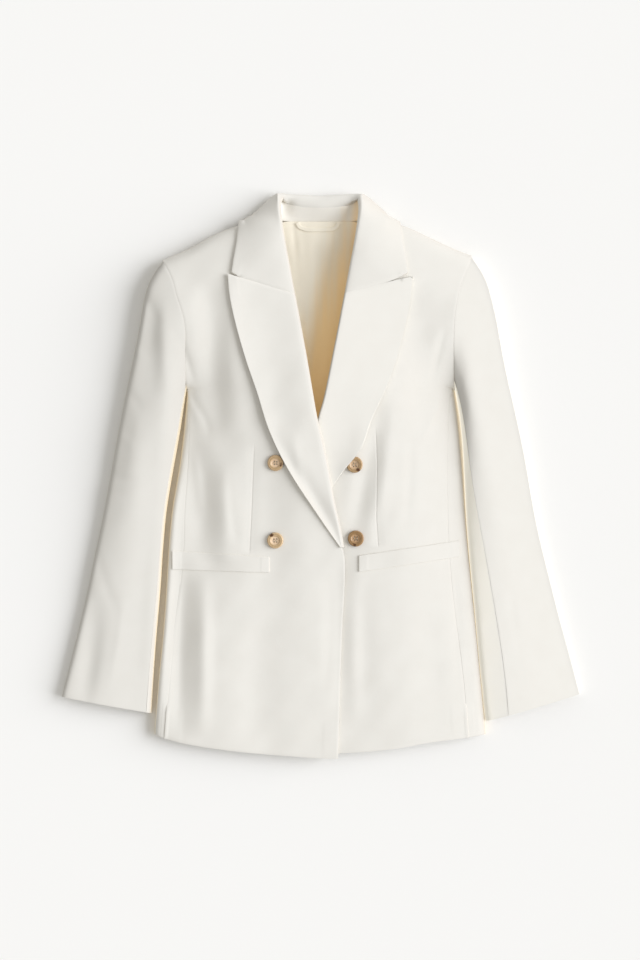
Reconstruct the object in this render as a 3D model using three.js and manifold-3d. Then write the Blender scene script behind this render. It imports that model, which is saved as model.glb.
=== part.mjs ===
import * as THREE from "three";
import Module from "manifold-3d";
import { mergeVertices } from "three/addons/utils/BufferGeometryUtils.js";

// A double breasted blazer with peak lapels, laid face up on a flat surface.
// Millimetres. +X is the wearer's left, +Y runs from hem to collar, +Z points up off the surface.
// "Right" and "left" are the wearer's. The right front lies over the left one.

// Driving sizes
const clothWall = 2;
const liningWall = 1;
const seamGap = 0.3;
const layerGap = 0.8;
const underarmY = 113;
// Rows of the body from the hem to the underarm, close together where the lapels break.
const bodyRowShares = [0, 0.09, 0.18, 0.28, 0.38, 0.47, 0.555, 0.578, 0.66, 0.75, 0.83, 0.91, 1];
const sideUnderReach = 45;
const foldRadius = 3.7;
const foldClearance = 0.9;
const foldLip = 4;
const collarCentreX = 3;
const fallRaise = 3.4;

// Body below the armholes: outer edges and side-front seams.
const sideRows = [
  { y: -345, rightEdge: -218, rightSeam: -203, leftEdge: 225, leftSeam: 200 },
  { y: -265, rightEdge: -212, rightSeam: -196, leftEdge: 218, leftSeam: 194 },
  { y: -200, rightEdge: -205, rightSeam: -189, leftEdge: 212, leftSeam: 185 },
  { y: -100, rightEdge: -199, rightSeam: -178, leftEdge: 202, leftSeam: 175 },
  { y: -40, rightEdge: -194, rightSeam: -177, leftEdge: 197, leftSeam: 173 },
  { y: 0, rightEdge: -186, rightSeam: -173, leftEdge: 195, leftSeam: 173 },
  { y: 60, rightEdge: -178, rightSeam: -171, leftEdge: 190, leftSeam: 173 },
  { y: underarmY, rightEdge: -174, rightSeam: -171, leftEdge: 183, leftSeam: 178 },
];

// Armhole seams from the underarm to the shoulder point.
const armholeRows = [
  { y: underarmY, right: -174, left: 183 },
  { y: 140, right: -176, left: 181 },
  { y: 170, right: -175, left: 180 },
  { y: 195, right: -174, left: 180.5 },
  { y: 215, right: -178, left: 181.5 },
  { y: 240, right: -187, left: 186 },
  { y: 256, right: -190, left: 190 },
  { y: 272, right: -197, left: 197 },
  { y: 287, right: -205, left: 202 },
  { y: 293, right: -206, left: 204 },
];

// Shoulder lines and the back neck seam, across the body.
const topRows = [
  { x: -205, y: 287 },
  { x: -191, y: 293 },
  { x: -172, y: 301 },
  { x: -141, y: 319 },
  { x: -103, y: 334 },
  { x: -64, y: 343 },
  { x: -48, y: 340 },
  { x: 3, y: 339 },
  { x: 54, y: 340 },
  { x: 70, y: 343 },
  { x: 114, y: 333 },
  { x: 155, y: 314 },
  { x: 180, y: 302 },
  { x: 204, y: 293 },
];

// Hem lines of the front that lies over, the front that lies under, and the back.
const hemRows = [
  { x: -218, over: -345, under: -345, back: -345 },
  { x: -206, over: -349.5, under: -349, back: -348 },
  { x: -179, over: -357, under: -357, back: -354 },
  { x: -103, over: -368, under: -367, back: -362 },
  { x: -58, over: -372, under: -371, back: -365 },
  { x: 26, over: -377, under: -370, back: -366 },
  { x: 103, over: -372, under: -364, back: -361 },
  { x: 152, over: -360, under: -355, back: -353 },
  { x: 195, over: -350, under: -350, back: -348 },
  { x: 225, over: -345, under: -345, back: -345 },
];

// Front edges below the break of the lapel and roll lines above it, hem to collar.
const breakY = -98;
const frontEdgeRows = [
  { y: -377, right: 27, left: -28 },
  { y: -192, right: 33, left: -32 },
  { y: -118, right: 37.5, left: -35 },
  { y: breakY, right: 36, left: -35 },
  { y: -69, right: 31, left: -31 },
  { y: -36, right: 23, left: -24 },
  { y: 0, right: 17, left: -17 },
  { y: 29, right: 11, left: -10 },
  { y: 57, right: 4.7, left: -4 },
  { y: 76, right: 0, left: 0 },
  { y: 97, right: -3.6, left: 6.7 },
  { y: 159, right: -14, left: 19.5 },
  { y: 197, right: -21, left: 27 },
  { y: 224, right: -26, left: 32 },
  { y: 239, right: -29, left: 35 },
];

// Necklines above the gorge, where the fronts draw back below the collar.
const necklineRows = [
  { y: 239, right: -33.3, left: 39.3 },
  { y: 258, right: -43, left: 49 },
  { y: 280, right: -50, left: 56 },
  { y: 308, right: -57, left: 63 },
  { y: 343, right: -64, left: 70 },
];

// Height of the laid cloth over the surface and half its thickness at the outer edge.
const heightRows = [
  { y: -377, crown: 20, edgeHalf: 7, raise: 1.6, dip: 1.6 },
  { y: -250, crown: 23, edgeHalf: 7, raise: 1.8, dip: 1.8 },
  { y: -130, crown: 26, edgeHalf: 7, raise: 2.2, dip: 2.2 },
  { y: -95, crown: 27, edgeHalf: 7, raise: 4.5, dip: 4 },
  { y: 20, crown: 31, edgeHalf: 7.5, raise: 4.5, dip: 4 },
  { y: 76, crown: 34, edgeHalf: 8, raise: 5, dip: 3 },
  { y: 120, crown: 36.6, edgeHalf: 8.5, raise: 3.4, dip: 1.4 },
  { y: 170, crown: 37.2, edgeHalf: 9.5, raise: 1.6, dip: 0 },
  { y: 220, crown: 37, edgeHalf: 11, raise: 0.5, dip: 0 },
  { y: 290, crown: 34, edgeHalf: 12, raise: 0, dip: 0 },
  { y: 345, crown: 29, edgeHalf: 9, raise: 0, dip: 0 },
];
const sideRiseWidth = 110;
const shoulderRiseWidth = 90;
const overlapInnerX = 70;
const overlapBlend = 55;

// Soft folds in the laid cloth, from one end to the other. Depth is down, a ridge is negative.
const creaseRows = [
  { x1: -126, y1: 262, x2: -128, y2: 30, halfWidth: 13, depth: 3 },
  { x1: -154, y1: 250, x2: -151, y2: 10, halfWidth: 11, depth: -1.8 },
  { x1: -98, y1: 200, x2: -102, y2: 30, halfWidth: 10, depth: -1.4 },
  { x1: -146, y1: -20, x2: -140, y2: -150, halfWidth: 18, depth: 2.4 },
  { x1: -160, y1: -120, x2: -166, y2: -350, halfWidth: 11, depth: 2.2 },
  { x1: -70, y1: -150, x2: -82, y2: -372, halfWidth: 16, depth: 1.4 },
  { x1: 94, y1: 105, x2: 92, y2: -10, halfWidth: 11, depth: 2 },
  { x1: 84, y1: 80, x2: 52, y2: -100, halfWidth: 12, depth: 2 },
  { x1: 62, y1: -120, x2: 52, y2: -370, halfWidth: 13, depth: 1.6 },
  { x1: 132, y1: 250, x2: 138, y2: 20, halfWidth: 14, depth: 1.6 },
  { x1: 142, y1: -140, x2: 158, y2: -350, halfWidth: 15, depth: 1.8 },
  { x1: -212, y1: 240, x2: -232, y2: 70, halfWidth: 12, depth: 3 },
  { x1: -272, y1: -150, x2: -312, y2: -300, halfWidth: 13, depth: 2.2 },
  { x1: -240, y1: 60, x2: -248, y2: -60, halfWidth: 12, depth: -1.8 },
  { x1: 226, y1: 220, x2: 240, y2: 90, halfWidth: 12, depth: 1.8 },
  { x1: 272, y1: -100, x2: 300, y2: -270, halfWidth: 13, depth: 1.6 },
];

// Sleeves, shoulder to cuff: the inner edge beside the body and the outer edge.
const sleeves = {
  right: {
    sign: -1,
    shoulderY: 287,
    innerEndY: -317,
    outerEndY: -295,
    inner: [
      { y: -317, x: -221 },
      { y: -252, x: -217 },
      { y: -199, x: -213 },
      { y: -157, x: -209 },
      { y: -100, x: -205.5 },
      { y: -48, x: -201 },
      { y: -6, x: -194 },
      { y: 18, x: -190 },
      { y: 58, x: -182.5 },
      { y: 93, x: -177.5 },
      { y: 113, x: -174 },
    ],
    outer: [
      { y: -295, x: -342 },
      { y: -211, x: -321 },
      { y: -157, x: -308 },
      { y: -116, x: -300 },
      { y: -62, x: -288 },
      { y: 0, x: -276.5 },
      { y: 65, x: -265 },
      { y: 134, x: -251 },
      { y: 191, x: -239 },
      { y: 223, x: -234 },
      { y: 252, x: -229 },
      { y: 272, x: -221 },
      { y: 287, x: -205.5 },
    ],
    seamStation: 2,
    seamShares: [
      { s: 0, share: 0.045 },
      { s: 1, share: 0.06 },
    ],
  },
  left: {
    sign: 1,
    shoulderY: 293,
    innerEndY: -328,
    outerEndY: -291.5,
    inner: [
      { y: -328, x: 227.5 },
      { y: -271, x: 220.5 },
      { y: -220, x: 216 },
      { y: -177, x: 212.5 },
      { y: -131, x: 207.5 },
      { y: -88, x: 203.5 },
      { y: -37, x: 199.5 },
      { y: 0, x: 197.5 },
      { y: 43, x: 194.5 },
      { y: 75, x: 190.5 },
      { y: 113, x: 183 },
    ],
    outer: [
      { y: -291.5, x: 350 },
      { y: -246, x: 338.5 },
      { y: -202.5, x: 326 },
      { y: -162, x: 316 },
      { y: -131, x: 308 },
      { y: -90.5, x: 298 },
      { y: -42, x: 287.5 },
      { y: 14, x: 279 },
      { y: 85.5, x: 264 },
      { y: 166, x: 246 },
      { y: 206.5, x: 240 },
      { y: 235, x: 233 },
      { y: 260, x: 227 },
      { y: 278, x: 217 },
      { y: 293, x: 204.5 },
    ],
    seamStation: 3,
    seamShares: [
      { s: 0, share: 0.07 },
      { s: 0.15, share: 0.11 },
      { s: 0.35, share: 0.17 },
      { s: 0.6, share: 0.24 },
      { s: 0.85, share: 0.26 },
      { s: 1, share: 0.22 },
    ],
  },
};
const sleeveHeightRows = [
  { s: 0, crown: 37, innerHalf: 8, outerHalf: 12 },
  { s: 0.15, crown: 36, innerHalf: 7.5, outerHalf: 10.5 },
  { s: 0.4, crown: 31, innerHalf: 7, outerHalf: 8 },
  { s: 0.7, crown: 26, innerHalf: 6.5, outerHalf: 7 },
  { s: 1, crown: 21, innerHalf: 6.5, outerHalf: 6.5 },
];
const sleeveTopStations = 12;
const sleeveUnderStations = 12;
const sleeveWrapStations = 3;
const sleeveRowCount = 15;

// Lapels from the break to the gorge: where the roll line and the outer edge are, and how far
// the edge stands off the front.
const lapelRows = {
  right: [
    { at: 0, rollY: -95, edgeX: 30.5, edgeY: -95.5, lift: 0.2 },
    { at: 0.08, rollY: -72, edgeX: 14, edgeY: -72, lift: 2.5 },
    { at: 0.18, rollY: -45, edgeX: -5, edgeY: -44, lift: 5 },
    { at: 0.3, rollY: -8, edgeX: -29, edgeY: -8, lift: 7 },
    { at: 0.42, rollY: 28, edgeX: -50, edgeY: 29, lift: 7 },
    { at: 0.54, rollY: 68, edgeX: -67, edgeY: 68, lift: 4.5 },
    { at: 0.66, rollY: 106, edgeX: -79, edgeY: 108, lift: 3 },
    { at: 0.78, rollY: 147, edgeX: -92, edgeY: 145, lift: 2 },
    { at: 0.89, rollY: 194, edgeX: -108, edgeY: 200, lift: 1.5 },
    { at: 0.96, rollY: 224, edgeX: -117.5, edgeY: 244, lift: 1 },
    { at: 1, rollY: 238.5, edgeX: -118.6, edgeY: 266, lift: 1 },
  ],
  left: [
    { at: 0, rollY: -95, edgeX: -29, edgeY: -95.5, lift: 0 },
    { at: 0.08, rollY: -72, edgeX: -12, edgeY: -72, lift: 0 },
    { at: 0.18, rollY: -42, edgeX: 6, edgeY: -42, lift: 0 },
    { at: 0.3, rollY: -8, edgeX: 24, edgeY: -8, lift: 1.5 },
    { at: 0.37, rollY: 13, edgeX: 39, edgeY: 13, lift: 6 },
    { at: 0.45, rollY: 38, edgeX: 58, edgeY: 36, lift: 6 },
    { at: 0.55, rollY: 70, edgeX: 70, edgeY: 72, lift: 3.5 },
    { at: 0.67, rollY: 106, edgeX: 86.5, edgeY: 106, lift: 2.5 },
    { at: 0.79, rollY: 147, edgeX: 102, edgeY: 147, lift: 2 },
    { at: 0.9, rollY: 197, edgeX: 117, edgeY: 202, lift: 1.5 },
    { at: 0.96, rollY: 224, edgeX: 124, edgeY: 240, lift: 1 },
    { at: 1, rollY: 238.5, edgeX: 125, edgeY: 261, lift: 1 },
  ],
};
const lapelRowCount = 22;
const lapelWallColumns = 7;

// Collar from the gorge to the centre back, measured outwards from the collar's centre line.
// Turn is how far the leaf has rolled over: 0 lies on the front, 180 lies below the back.
const collarRows = [
  { at: 0, foldOut: 32.2, foldY: 239.4, foldZ: 35.2, heading: 17, turn: 0, radius: 3.7, lip: 4,
    bowOut: 95, bowY: 257, bowZ: 39.5, edgeOut: 116.6, edgeY: 268.6, edgeZ: 37 },
  { at: 0.14, foldOut: 39, foldY: 277, foldZ: 35, heading: 10, turn: 4, radius: 3.7, lip: 4,
    bowOut: 78, bowY: 285, bowZ: 40, edgeOut: 113.5, edgeY: 291, edgeZ: 34 },
  { at: 0.27, foldOut: 45, foldY: 308, foldZ: 34, heading: 7, turn: 12, radius: 3.8, lip: 4,
    bowOut: 80, bowY: 314, bowZ: 37, edgeOut: 109.5, edgeY: 313, edgeZ: 29 },
  { at: 0.4, foldOut: 49.5, foldY: 335, foldZ: 31, heading: 14, turn: 28, radius: 4, lip: 5,
    bowOut: 86, bowY: 345, bowZ: 31, edgeOut: 107.5, edgeY: 340, edgeZ: 14 },
  { at: 0.465, foldOut: 51.5, foldY: 347.5, foldZ: 28, heading: 20, turn: 40, radius: 4.3, lip: 6,
    bowOut: 94, bowY: 351, bowZ: 18, edgeOut: 103.5, edgeY: 339.5, edgeZ: 3 },
  { at: 0.53, foldOut: 53, foldY: 358, foldZ: 25, heading: 28, turn: 55, radius: 4.6, lip: 7,
    bowOut: 99, bowY: 358, bowZ: 2, edgeOut: 95, edgeY: 330, edgeZ: 0 },
  { at: 0.64, foldOut: 53.5, foldY: 374, foldZ: 16, heading: 50, turn: 105, radius: 5.4, lip: 8,
    bowOut: 78, bowY: 367, bowZ: 0, edgeOut: 78, edgeY: 321, edgeZ: 0 },
  { at: 0.76, foldOut: 37, foldY: 375.5, foldZ: 8.5, heading: 84, turn: 165, radius: 6.4, lip: 9,
    bowOut: 42, bowY: 352, bowZ: 0, edgeOut: 46, edgeY: 321, edgeZ: 0 },
  { at: 1, foldOut: 0, foldY: 373.5, foldZ: 6.5, heading: 90, turn: 180, radius: 6.5, lip: 9,
    bowOut: 0, bowY: 350, bowZ: 0, edgeOut: 0, edgeY: 321, edgeZ: 0 },
];
const collarHalfStations = 13;
const collarLeafColumns = 6;
const standStart = 0.27;
const standStations = 9;
const standRows = [
  { at: 0.27, out: 58.5, y: 316, z: 27 },
  { at: 0.4, out: 61.5, y: 332, z: 20 },
  { at: 0.53, out: 63, y: 344.5, z: 13 },
  { at: 0.64, out: 50, y: 343, z: 6.6 },
  { at: 0.76, out: 33, y: 341, z: 6 },
  { at: 1, out: 0, y: 340, z: 6 },
];

// Back lining that shows inside the neck, and its soft centre pleat.
const liningRows = [
  { y: 40, right: -62, left: 66 },
  { y: 200, right: -84, left: 90 },
  { y: 300, right: -84, left: 90 },
  { y: 338.5, right: -47, left: 53 },
];
const liningStations = [40, 110, 180, 240, 270, 288, 300, 312, 324, 338.5];
const liningGap = 1.1;
const liningColumns = 14;
const liningPleats = [
  { x: -38, halfWidth: 6, height: 1.4 },
  { x: -6, halfWidth: 5, height: 2 },
  { x: 16, halfWidth: 6, height: 1.6 },
  { x: 40, halfWidth: 7, height: 1.2 },
];

// Pocket welts: the upper edge's ends and the welt's depth at each.
const welts = {
  right: { x1: -193, y1: -101, depth1: 24, x2: -64, y2: -109, depth2: 20 },
  left: { x1: 55, y1: -107, depth1: 21, x2: 190, y2: -87, depth2: 21 },
};
const weltColumns = 12;
const weltWall = 1.4;

const buttonRadius = 10.75;
const buttonThickness = 3.6;
const buttonSides = 18;
const buttonHoleRadius = 0.9;
const buttonHoleReach = 2.1;
const buttons = {
  button_upper_right: { x: -55.5, y: 16.3 },
  button_lower_right: { x: -56, y: -86.4 },
  button_upper_left: { x: 49.3, y: 14 },
  button_lower_left: { x: 50.9, y: -84 },
};

const loopRows = [
  { at: 0, x: -27, y: 337 },
  { at: 0.15, x: -24, y: 331 },
  { at: 0.32, x: -10, y: 327.5 },
  { at: 0.68, x: 17, y: 328 },
  { at: 0.87, x: 26, y: 332 },
  { at: 1, x: 28, y: 337.5 },
];
const loopWidth = 5;
const loopStations = 14;

const cloth = new THREE.MeshStandardMaterial({ color: 0xf0ede4, roughness: 0.85, metalness: 0 });
const lining = new THREE.MeshStandardMaterial({ color: 0xeae4cf, roughness: 0.45, metalness: 0 });
const horn = new THREE.MeshStandardMaterial({ color: 0xc9a574, roughness: 0.3, metalness: 0 });

function limited(value) {
  return Math.min(Math.max(value, 0), 1);
}

function smooth(value) {
  const t = limited(value);
  return t * t * (3 - 2 * t);
}

function rise(value) {
  return 1 - (1 - limited(value)) ** 2;
}

function quarterRound(value) {
  return Math.sqrt(rise(value));
}

function blend(from, to, share) {
  return from + (to - from) * share;
}

function slopeAt(rows, key, along, index) {
  const secant = (i) => (rows[i + 1][key] - rows[i][key]) / (rows[i + 1][along] - rows[i][along]);
  if (index === 0) return secant(0);
  if (index === rows.length - 1) return secant(index - 1);
  const before = secant(index - 1);
  const after = secant(index);
  return before * after <= 0 ? 0 : (2 * before * after) / (before + after);
}

// Smooth value of one column of a table, with no overshoot between rows.
function read(rows, along, at, key) {
  const last = rows.length - 1;
  if (at <= rows[0][along]) return rows[0][key];
  if (at >= rows[last][along]) return rows[last][key];
  let i = 0;
  while (rows[i + 1][along] < at) i += 1;
  const span = rows[i + 1][along] - rows[i][along];
  const t = (at - rows[i][along]) / span;
  const startPull = slopeAt(rows, key, along, i) * span * t * (1 - t) ** 2;
  const endPull = slopeAt(rows, key, along, i + 1) * span * t * t * (t - 1);
  return blend(rows[i][key], rows[i + 1][key], smooth(t)) + startPull + endPull;
}

function sideEdge(side, y) {
  return read(sideRows, "y", y, `${side}Edge`);
}

function topLine(x) {
  return read(topRows, "x", x, "y");
}

function edgeHalf(y) {
  return read(heightRows, "y", y, "edgeHalf");
}

function sideDistance(x, y) {
  const rightEdge = sideEdge("right", y);
  const leftEdge = sideEdge("left", y);
  if (y <= underarmY) return Math.min(x - rightEdge, leftEdge - x);
  const above = y - underarmY;
  return Math.min(Math.hypot(x - rightEdge, above), Math.hypot(leftEdge - x, above));
}

function creaseDepth(x, y) {
  let depth = 0;
  for (const fold of creaseRows) {
    const dx = fold.x2 - fold.x1;
    const dy = fold.y2 - fold.y1;
    const length = Math.hypot(dx, dy);
    const along = ((x - fold.x1) * dx + (y - fold.y1) * dy) / length;
    const aside = ((x - fold.x1) * dy - (y - fold.y1) * dx) / length;
    const ends = smooth(along / (0.3 * length)) * smooth((length - along) / (0.3 * length));
    depth += fold.depth * ends * Math.exp(-((aside / fold.halfWidth) ** 2));
  }
  return depth;
}

// Outer face of the laid body cloth, before one front is raised over the other.
function clothTop(x, y) {
  const half = edgeHalf(y);
  const fromSide = sideDistance(x, y);
  const fromTop = topLine(x) - y;
  const edge = half * quarterRound(Math.min(fromSide, fromTop) / half);
  const spread = rise(fromSide / sideRiseWidth) * rise(fromTop / shoulderRiseWidth);
  const crown = (read(heightRows, "y", y, "crown") - 2 * half) * spread;
  const settled = smooth(Math.min(fromSide, fromTop) / 20);
  return half + edge + crown - creaseDepth(x, y) * settled;
}

const frontTop = {
  right: (x, y) => {
    const share = smooth((x + overlapInnerX) / overlapBlend);
    return clothTop(x, y) + read(heightRows, "y", y, "raise") * share;
  },
  left: (x, y) => {
    const share = smooth((overlapInnerX - x) / overlapBlend);
    return clothTop(x, y) - read(heightRows, "y", y, "dip") * share;
  },
};

// Lower face of the back: flat on the surface, rolled up at the shoulders and armpits and
// raised over the collar fall.
function backLift(x, y) {
  const half = edgeHalf(y) - 0.5 * seamGap;
  const outOfNeck = smooth((Math.abs(x - collarCentreX) - 56) / 14);
  const fromTop = blend(half, topLine(x) - y, outOfNeck);
  const roll = half * (1 - quarterRound(Math.min(sideDistance(x, y), fromTop) / half));
  const overFall = smooth((y - 284) / 34) * (1 - smooth((Math.abs(x - collarCentreX) - 104) / 12));
  return roll + fallRaise * overFall * (1 - roll / half);
}

// Direction of a line of points at one of them, to the second order at its ends.
function runAt(line, index) {
  const last = line.length - 1;
  const weighed = (terms) => terms.reduce(
    (sum, [k, weight]) => sum.addScaledVector(line[k], weight),
    new THREE.Vector3(),
  );
  if (last < 2) return weighed([[last, 1], [0, -1]]);
  if (index === 0) return weighed([[0, -3], [1, 4], [2, -1]]);
  if (index === last) return weighed([[last, 3], [last - 1, -4], [last - 2, 1]]);
  return weighed([[index + 1, 1], [index - 1, -1]]);
}

// A closed wall from the points of its visible face: rows of points, and the wall's thickness
// behind them. Facing is 1 where rows turned into columns point out of the face, else -1.
function wallGeometry(points, wall, facing = 1) {
  const face = facing > 0 ? points : points.map((row) => [...row].reverse());
  const rowCount = face.length;
  const columnCount = face[0].length;
  const positions = [];
  const backPositions = [];
  for (let i = 0; i < rowCount; i += 1) {
    const column = face[i];
    for (let j = 0; j < columnCount; j += 1) {
      const point = column[j];
      const along = runAt(face.map((row) => row[j]), i);
      const across = runAt(column, j);
      const inward = along.cross(across).normalize().multiplyScalar(-wall);
      positions.push(point.x, point.y, point.z);
      backPositions.push(point.x + inward.x, point.y + inward.y, point.z + inward.z);
    }
  }
  const backStart = rowCount * columnCount;
  const at = (i, j) => i * columnCount + j;
  const triangles = [];
  for (let i = 0; i + 1 < rowCount; i += 1) {
    for (let j = 0; j + 1 < columnCount; j += 1) {
      const corners = [at(i, j), at(i + 1, j), at(i + 1, j + 1), at(i, j + 1)];
      const [a, b, c, d] = corners;
      triangles.push(a, b, c, a, c, d);
      triangles.push(a + backStart, c + backStart, b + backStart);
      triangles.push(a + backStart, d + backStart, c + backStart);
    }
  }
  const rim = [];
  for (let j = 0; j < columnCount; j += 1) rim.push(at(0, j));
  for (let i = 1; i < rowCount; i += 1) rim.push(at(i, columnCount - 1));
  for (let j = columnCount - 2; j >= 0; j -= 1) rim.push(at(rowCount - 1, j));
  for (let i = rowCount - 2; i > 0; i -= 1) rim.push(at(i, 0));
  for (let k = 0; k < rim.length; k += 1) {
    const a = rim[k];
    const b = rim[(k + 1) % rim.length];
    triangles.push(a, b, b + backStart, a, b + backStart, a + backStart);
  }
  const geometry = new THREE.BufferGeometry();
  const all = positions.concat(backPositions);
  geometry.setAttribute("position", new THREE.Float32BufferAttribute(all, 3));
  geometry.setIndex(triangles);
  geometry.computeVertexNormals();
  return geometry;
}

const blazer = new THREE.Group();

function add(name, geometry, material) {
  const mesh = new THREE.Mesh(geometry, material);
  mesh.name = name;
  blazer.add(mesh);
}

function evenShares(count) {
  return Array.from({ length: count + 1 }, (_, k) => k / count);
}

// Share of the sleeve's width, from its inner to its outer edge, at each station of its top.
function sleeveTopShare(sleeve, station, s) {
  const seam = read(sleeve.seamShares, "s", s, "share");
  if (station <= sleeve.seamStation) {
    return seam * (1 - Math.cos((0.5 * Math.PI * station) / sleeve.seamStation));
  }
  const past = (station - sleeve.seamStation) / (sleeveTopStations - sleeve.seamStation);
  return seam + (1 - seam) * Math.sin(0.5 * Math.PI * past);
}

function sleeveUnderShare(station) {
  return 0.5 - 0.5 * Math.cos((Math.PI * station) / sleeveUnderStations);
}

function armholePoint(side, share) {
  const y = blend(underarmY, sleeves[side].shoulderY, share);
  return { x: read(armholeRows, "y", y, side), y };
}

// Place across and along a sleeve, seen from above. The head follows the armhole.
function sleevePlace(side, share, s) {
  const sleeve = sleeves[side];
  const innerY = blend(underarmY, sleeve.innerEndY, s);
  const outerY = blend(sleeve.shoulderY, sleeve.outerEndY, s);
  const innerX = read(sleeve.inner, "y", innerY, "x");
  const outerX = read(sleeve.outer, "y", outerY, "x");
  const seam = armholePoint(side, share);
  const start = armholePoint(side, 0).x;
  const end = armholePoint(side, 1).x;
  const headBow = (seam.x - blend(start, end, share)) * (1 - s) ** 3;
  return {
    x: blend(innerX, outerX, share) + headBow,
    y: blend(innerY, outerY, share),
    width: Math.hypot(outerX - innerX, outerY - innerY),
  };
}

function sleeveHalf(share, s) {
  const inner = read(sleeveHeightRows, "s", s, "innerHalf");
  return blend(inner, read(sleeveHeightRows, "s", s, "outerHalf"), share);
}

function sleeveTopPoint(side, share, s) {
  const place = sleevePlace(side, share, s);
  const half = sleeveHalf(share, s);
  const fromEdge = Math.min(share, 1 - share) * place.width;
  const spread = rise(2 * share) * rise(2 - 2 * share);
  const crown = (read(sleeveHeightRows, "s", s, "crown") - 2 * half) * spread;
  const settled = smooth(fromEdge / 20);
  const own = half + half * quarterRound(fromEdge / half) + crown;
  const seam = armholePoint(side, share);
  const ownShare = smooth(s / 0.14);
  const creased = creaseDepth(place.x, place.y) * settled * ownShare;
  const z = blend(clothTop(seam.x, seam.y), own, ownShare) - creased;
  return new THREE.Vector3(place.x, place.y, z);
}

function sleeveUnderPoint(side, share, s) {
  const place = sleevePlace(side, share, s);
  const half = sleeveHalf(share, s);
  const fromEdge = Math.min(share, 1 - share) * place.width;
  const own = half * (1 - quarterRound(fromEdge / half));
  const seam = armholePoint(side, share);
  const z = blend(backLift(seam.x, seam.y), own, smooth(s / 0.14));
  return new THREE.Vector3(place.x, place.y, z);
}

function sleeveRow(side, stations, s) {
  return stations.map(({ top, station }) => {
    if (top) return sleeveTopPoint(side, sleeveTopShare(sleeves[side], station, s), s);
    return sleeveUnderPoint(side, sleeveUnderShare(station), s);
  });
}

// Both pieces of a sleeve go round its tube: the top piece wraps the outer edge, the under
// piece wraps the inner one.
function addSleeve(side) {
  const sleeve = sleeves[side];
  const topStations = [];
  for (let k = sleeve.seamStation; k <= sleeveTopStations; k += 1) {
    topStations.push({ top: true, station: k });
  }
  for (let k = 1; k <= sleeveWrapStations; k += 1) {
    topStations.push({ top: false, station: sleeveUnderStations - k });
  }
  const underStations = [];
  for (let k = sleeveUnderStations - sleeveWrapStations; k >= 0; k -= 1) {
    underStations.push({ top: false, station: k });
  }
  for (let k = 1; k <= sleeve.seamStation; k += 1) {
    underStations.push({ top: true, station: k });
  }
  const length = Math.abs(sleeve.outerEndY - sleeve.shoulderY);
  const rows = evenShares(sleeveRowCount - 1).map((t) => blend(2 * seamGap / length, 1, t ** 1.15));
  for (const [name, stations] of [["sleeve_top", topStations], ["sleeve_under", underStations]]) {
    const points = rows.map((s) => trimmed(sleeveRow(side, stations, s), seamGap));
    add(`${name}_${side}`, wallGeometry(points, clothWall, sleeve.sign), cloth);
  }
}

// A row of points cut back at both ends for the seams there.
function trimmed(row, amount = 0.5 * seamGap) {
  const cut = (from, to) => from.clone().lerp(to, amount / from.distanceTo(to));
  const last = row.length - 1;
  const start = cut(row[0], row[1]);
  const end = cut(row[last], row[last - 1]);
  return [start, ...row.slice(1, last), end];
}

function innerEdgeX(side, y) {
  const sign = side === "right" ? -1 : 1;
  if (y >= 239) return read(necklineRows, "y", y, side);
  const inset = (foldRadius + foldClearance) * smooth((y - breakY + 6) / 10);
  return read(frontEdgeRows, "y", y, side) + sign * inset;
}

// Rows of a body panel: below the underarm they run from the hem, above it they end on the
// stations of the armhole seam.
function bodyRowY(x, row, hem) {
  if (row.below !== undefined) return blend(read(hemRows, "x", x, hem), underarmY, row.below);
  return blend(underarmY, topLine(x), row.above);
}

function bodyRows(side, armholeShares) {
  const below = bodyRowShares.map((share) => ({ below: share }));
  const above = armholeShares.slice(1).map((share) => {
    const seam = armholePoint(side, share);
    const rowShare = (seam.y - underarmY) / (topLine(seam.x) - underarmY);
    return { above: rowShare, seamX: seam.x };
  });
  return below.concat(above);
}

function armholeTopShares(side) {
  const stations = evenShares(sleeveTopStations).map((share) => share * sleeveTopStations);
  return stations.map((station) => sleeveTopShare(sleeves[side], Math.round(station), 0));
}

const frontColumns = 12;

function addFront(side) {
  const sign = sleeves[side].sign;
  const hem = side === "right" ? "over" : "under";
  const points = bodyRows(side, armholeTopShares(side)).map((row) => {
    return evenShares(frontColumns).map((share) => {
      let x = sign * 100;
      let y = 0;
      for (let pass = 0; pass < 6; pass += 1) {
        y = bodyRowY(x, row, hem);
        const seamX = row.seamX ?? read(sideRows, "y", y, `${side}Seam`);
        x = blend(innerEdgeX(side, y), seamX - sign * 0.5 * seamGap, share);
      }
      return new THREE.Vector3(x, y, frontTop[side](x, y));
    });
  });
  add(`front_${side}`, wallGeometry(points, clothWall, -sign), cloth);
}

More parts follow.
